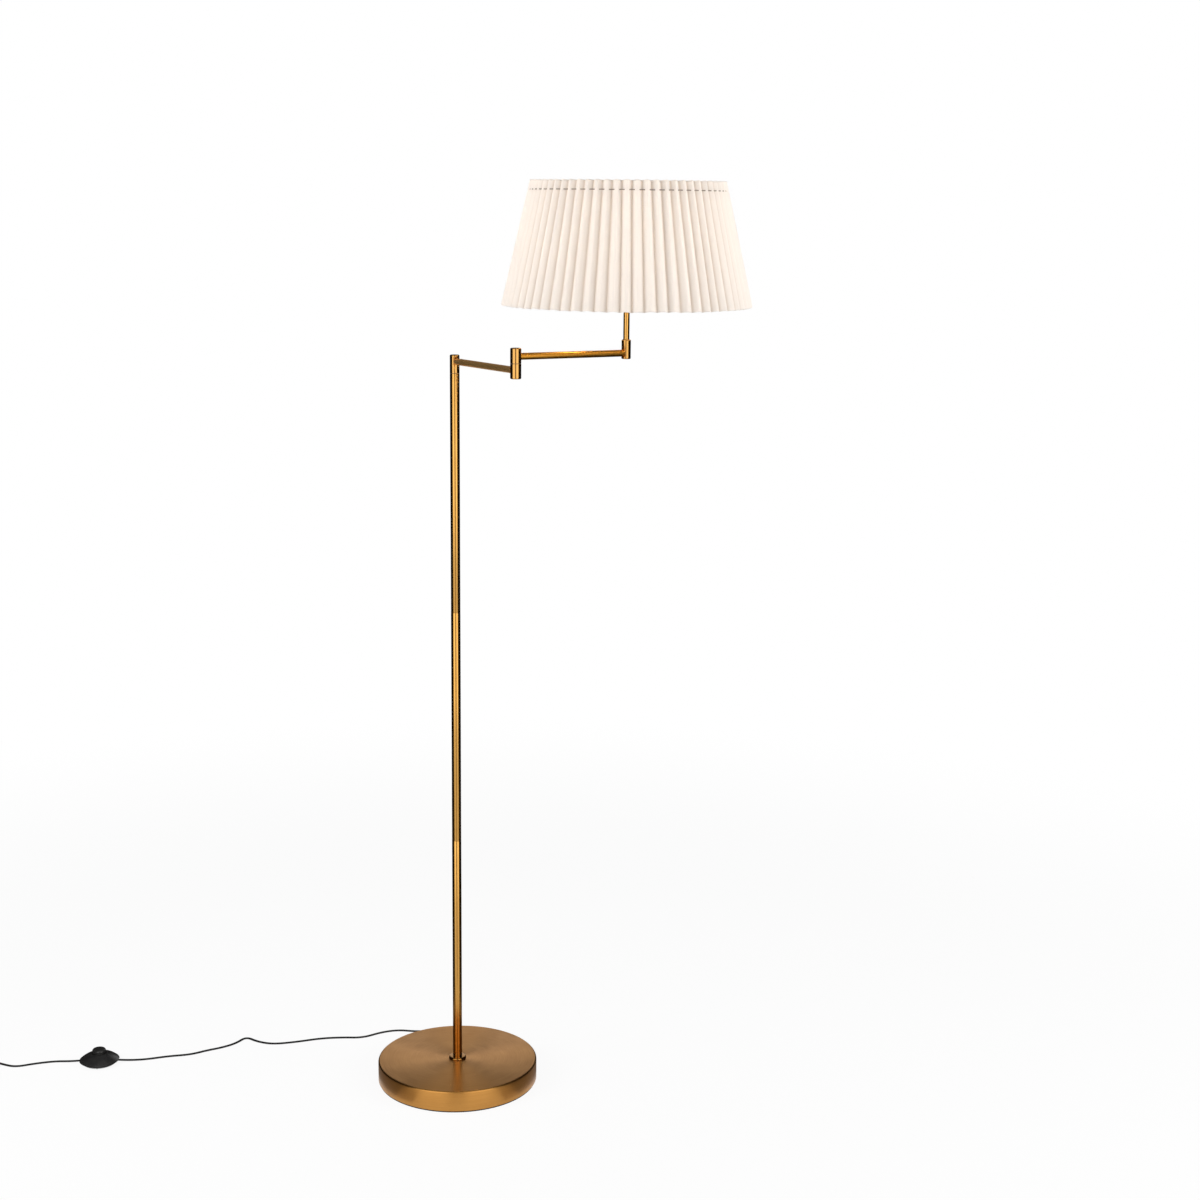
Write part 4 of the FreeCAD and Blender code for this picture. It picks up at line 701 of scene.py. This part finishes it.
# ---- Shade frame
# White-coated steel wire: two hoops held apart by six uprights, and a gallery of three bent arms on a
# pressed plate, which the holder's rings clamp.
def mottled(name, light, dark, roughness, scale, depth, detail=6, strength=0.5, metal=0):
    """Plain finish with mottled colour and a grain that follows it. roughness is (least, most)."""
    material, tree = new_material(name)
    clouds = clouded(tree, object_spot(tree), scale, detail, dark, light, roughness)
    principled(tree, {
        "Base Color": clouds["Color"],
        "Roughness": clouds["Roughness"],
        "Metallic": metal,
        "Normal": relief(tree, clouds["Height"], strength, depth),
    })
    return material


wire_white = mottled("white coated wire", (0.84, 0.83, 0.80), (0.74, 0.73, 0.69), (0.32, 0.5), 240, 0.0002,
                     detail=4, strength=0.3)
for node, name in (("shade_bottom_ring", "bottom_hoop"), ("shade_top_ring", "top_hoop")):
    low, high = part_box(node)
    wire_radius = (high.z - low.z) / 2
    hoop_radius = (high.x - low.x) / 2 - wire_radius
    bm = bmesh.new()
    cross = Matrix.Translation((hoop_radius, 0, (low.z + high.z) / 2)) @ Matrix.Rotation(radians(90), 4, "X")
    bmesh.ops.create_circle(bm, segments=12, radius=wire_radius, matrix=cross)
    bmesh.ops.spin(bm, geom=bm.verts[:] + bm.edges[:], axis=(0, 0, 1), cent=(0, 0, 0), angle=tau, steps=160,
                   use_merge=True)
    bmesh.ops.remove_doubles(bm, verts=bm.verts, dist=weld_gap)
    bmesh.ops.recalc_face_normals(bm, faces=bm.faces)
    set_at(bm, axis_of_shade.x, axis_of_shade.y)
    finished(name, bm, wire_white, "second_arm", [node], 60)
moulded("hoop_uprights", "shade_uprights", wire_white, "second_arm", 50)
moulded("gallery", "shade_gallery", wire_white, "second_arm", 40)


# ---- Shade cloth
# A strip of cream-white cotton, pressed into 64 accordion pleats and wrapped round the frame as a low
# cone. A row of stitches 15 mm below its top gathers it on to the upper hoop.
cloth_low, cloth_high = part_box("shade_fabric")
hem_height, heading_height = cloth_low.z, cloth_high.z
wall_height = heading_height - hem_height
hem_radius, heading_radius = (cloth_high.x - cloth_low.x) / 2, 0.1565
pleats, facets = 64, 14
pleat_depth, cloth_thickness, crest_round = 0.0063, 0.0006, 0.28
stitch_drop, gather_pull, gather_fade = 0.015, 0.0003, 30
hem_lift, ragged_hem, ragged_fade = 0.0012, 0.0006, 14
wall_lean = atan((hem_radius - heading_radius) / wall_height)
stitch_share = 1 - stitch_drop / wall_height
chance = random.Random(64)
lean = [chance.uniform(-1, 1) for pleat in range(pleats)]
fullness = [chance.uniform(-1, 1) for pleat in range(pleats)]
drop = [chance.uniform(-1, 1) for pleat in range(pleats)]


def between(values, pleat):
    """A pleat's own value, running smoothly into its neighbours'."""
    first = whole(pleat)
    return values[first % pleats] * (1 - pleat + first) + values[(first + 1) % pleats] * (pleat - first)


def pleat_place(pleat, share):
    """Where the cloth lies. pleat counts round the shade, whole at a crest; share is of the height."""
    across = 2 * abs(pleat - round(pleat))
    fold = (hypot(across, crest_round) - crest_round) / (hypot(1, crest_round) - crest_round)
    ease = ramp(stitch_share - share, 0, stitch_share)
    gather = max(0, 1 - abs(share - stitch_share) * gather_fade)
    depth = pleat_depth * (0.96 + 0.05 * between(fullness, pleat) * ease - 0.10 * gather)
    radius = hem_radius + (heading_radius - hem_radius) * share - depth * fold - gather_pull * gather
    angle = (pleat + 0.10 * between(lean, pleat) * sin(ease * 1.7)) / pleats * tau
    ragged = ragged_hem * between(drop, pleat) * max(0, 1 - share * ragged_fade)
    height = hem_height + hem_lift * (1 - share) + wall_height * share
    height += ragged - depth * fold * sin(wall_lean)
    return Vector((axis_of_shade.x + radius * cos(angle), axis_of_shade.y + radius * sin(angle), height))


shares = [0, 0.01, 0.03, 0.07] + [0.07 + 0.78 * step / 18 for step in range(1, 19)]
shares += [0.875, 0.89, 0.905, stitch_share - 0.006, stitch_share, stitch_share + 0.006]
shares += [0.95, 0.965, 0.985, 1]
cloth_bm = spun([(1, 0, share) for share in shares], tau, steps=pleats * facets)
bmesh.ops.recalc_face_normals(cloth_bm, faces=cloth_bm.faces)
weave_map = cloth_bm.loops.layers.uv.new("weave")
for face in cloth_bm.faces:
    middle = face.calc_center_median()
    home = atan2(middle.y, middle.x)
    for loop in face.loops:
        angle = atan2(loop.vert.co.y, loop.vert.co.x)
        angle += tau * round((home - angle) / tau)
        loop[weave_map].uv = (angle / tau * pleats, loop.vert.co.z)
for vert in cloth_bm.verts:
    pleat = round(atan2(vert.co.y, vert.co.x) % tau / tau * pleats * facets) / facets
    vert.co = pleat_place(pleat % pleats, vert.co.z)

cloth, cloth_tree = new_material("pleated cotton")
weave_place = add_node(cloth_tree, "UVMap", uv_map="weave").outputs[0]
threads = add_node(cloth_tree, "Mapping", {"Vector": weave_place, "Scale": (34, 330, 1)}).outputs["Vector"]
warp, weft = (
    add_node(cloth_tree, "TexWave", {
        "Vector": threads, "Scale": 0.314, "Distortion": 0.6, "Detail Scale": 0.5,
    }, bands_direction=direction).outputs["Fac"]
    for direction in ("X", "Y")
)
weave = reckon(cloth_tree, "MULTIPLY", warp, weft)
slub = noise(cloth_tree, object_spot(cloth_tree), 160, 5)
yarn = add_node(cloth_tree, "Mix", {0: 0.45, 2: weave, 3: slub}, data_type="FLOAT").outputs[0]
tone = mixed(cloth_tree, yarn, (0.86, 0.84, 0.81, 1), (0.94, 0.93, 0.915, 1))
# The pleat valleys are painted a darker beige: painted shade in the creases, on top of the shade that the
# folds cast.
pleat_count = add_node(cloth_tree, "SeparateXYZ", {0: weave_place}).outputs["X"]
valley = reckon(cloth_tree, "PINGPONG", pleat_count, 0.5)
painted_crease_shade = add_node(cloth_tree, "MapRange", {
    "Value": valley, "From Min": 0.27, "From Max": 0.5, "To Max": 0.85,
}, interpolation_type="SMOOTHSTEP").outputs["Result"]
cotton = add_node(cloth_tree, "BsdfPrincipled", {
    "Base Color": mixed(cloth_tree, painted_crease_shade, tone, (0.66, 0.60, 0.54, 1)),
    "Roughness": 0.85,
    "Sheen Weight": 0.15,
    "Normal": relief(cloth_tree, yarn, 0.4, 0.00025),
})
through = add_node(cloth_tree, "BsdfTranslucent", {"Color": (0.95, 0.88, 0.82, 1)})
both = add_node(cloth_tree, "MixShader", {0: 0.42, 1: cotton.outputs[0], 2: through.outputs[0]})
add_node(cloth_tree, "OutputMaterial", {"Surface": both.outputs[0]})

shade = finished("pleated_shade", cloth_bm, cloth, "second_arm", ["shade_fabric"], 60)
thickness = shade.modifiers.new("cloth thickness", "SOLIDIFY")
thickness.thickness = cloth_thickness
thickness.offset = -1

stitch_bm = bmesh.new()
stitch_reach, thread_radius = 0.27, 0.0008
for pleat in range(pleats):
    start, end = (pleat_place(pleat + 0.5 + side, stitch_share) for side in (-stitch_reach, stitch_reach))
    reach = end - start
    lay = Matrix.Translation((start + end) / 2) @ reach.to_track_quat("Z", "Y").to_matrix().to_4x4()
    bmesh.ops.create_cone(stitch_bm, cap_ends=True, segments=6, radius1=thread_radius,
                          radius2=thread_radius, depth=reach.length, matrix=lay)
# The thread is dark grey-brown: real running stitches, and also painted shade for the pinch where they
# gather the pleats.
thread_with_pinch_shade, thread_tree = new_material("stitching thread with painted pinch shade")
ply = noise(thread_tree, object_spot(thread_tree), 900, 2)
principled(thread_tree, {
    "Base Color": mixed(thread_tree, ply, (0.24, 0.20, 0.17, 1), (0.36, 0.31, 0.27, 1)),
    "Roughness": 0.8,
})
stitches = finished("gathering_stitches", stitch_bm, thread_with_pinch_shade, "second_arm")


# ---- Parts inside
# What the cover, the tubes and the shells hide: the iron weight with its nut and nipple, the couplers
# and spindles, the leads, and the switch's works.
foam = mottled("black foam", (0.03, 0.03, 0.032), (0.012, 0.012, 0.013), (0.75, 0.95), 900, 0.0004)
iron = mottled("painted cast iron", (0.05, 0.05, 0.05), (0.02, 0.02, 0.02), (0.5, 0.7), 180, 0.0008)
zinc = mottled("zinc-plated steel", (0.66, 0.66, 0.63), (0.48, 0.48, 0.46), (0.25, 0.45), 300, 0.0001,
               metal=1)
washer = mottled("friction washer", (0.07, 0.055, 0.04), (0.04, 0.03, 0.022), (0.4, 0.6), 400, 0.0001)
fired_clay = mottled("fired clay", (0.84, 0.81, 0.76), (0.72, 0.69, 0.63), (0.5, 0.7), 350, 0.0002)
lead_sheath = mottled("lead sheath", (0.03, 0.03, 0.03), (0.015, 0.015, 0.015), (0.4, 0.6), 500, 0.0001)
finishes = {
    foam: ["base_pad", "switch_feet"],
    iron: ["base_weight"],
    zinc: ["base_washer", "base_nut", "base_nipple", "pole_coupler_lower", "pole_coupler_upper", "pole_foot",
           "pole_bush", "swivel_spindle", "swivel_nut", "lower_knuckle_cap", "elbow_spindle", "elbow_nut",
           "switch_screws", "switch_spring", "holder_contact"],
    washer: ["swivel_washer", "elbow_washer"],
    fired_clay: ["holder_insert"],
    lead_sheath: ["lead_pole", "lead_arm_1", "lead_arm_2"],
    switch_black: ["switch_block"],
}
for finish, nodes in finishes.items():
    for node in nodes:
        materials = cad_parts[node].data.materials
        materials.clear()
        materials.append(finish)

low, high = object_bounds()
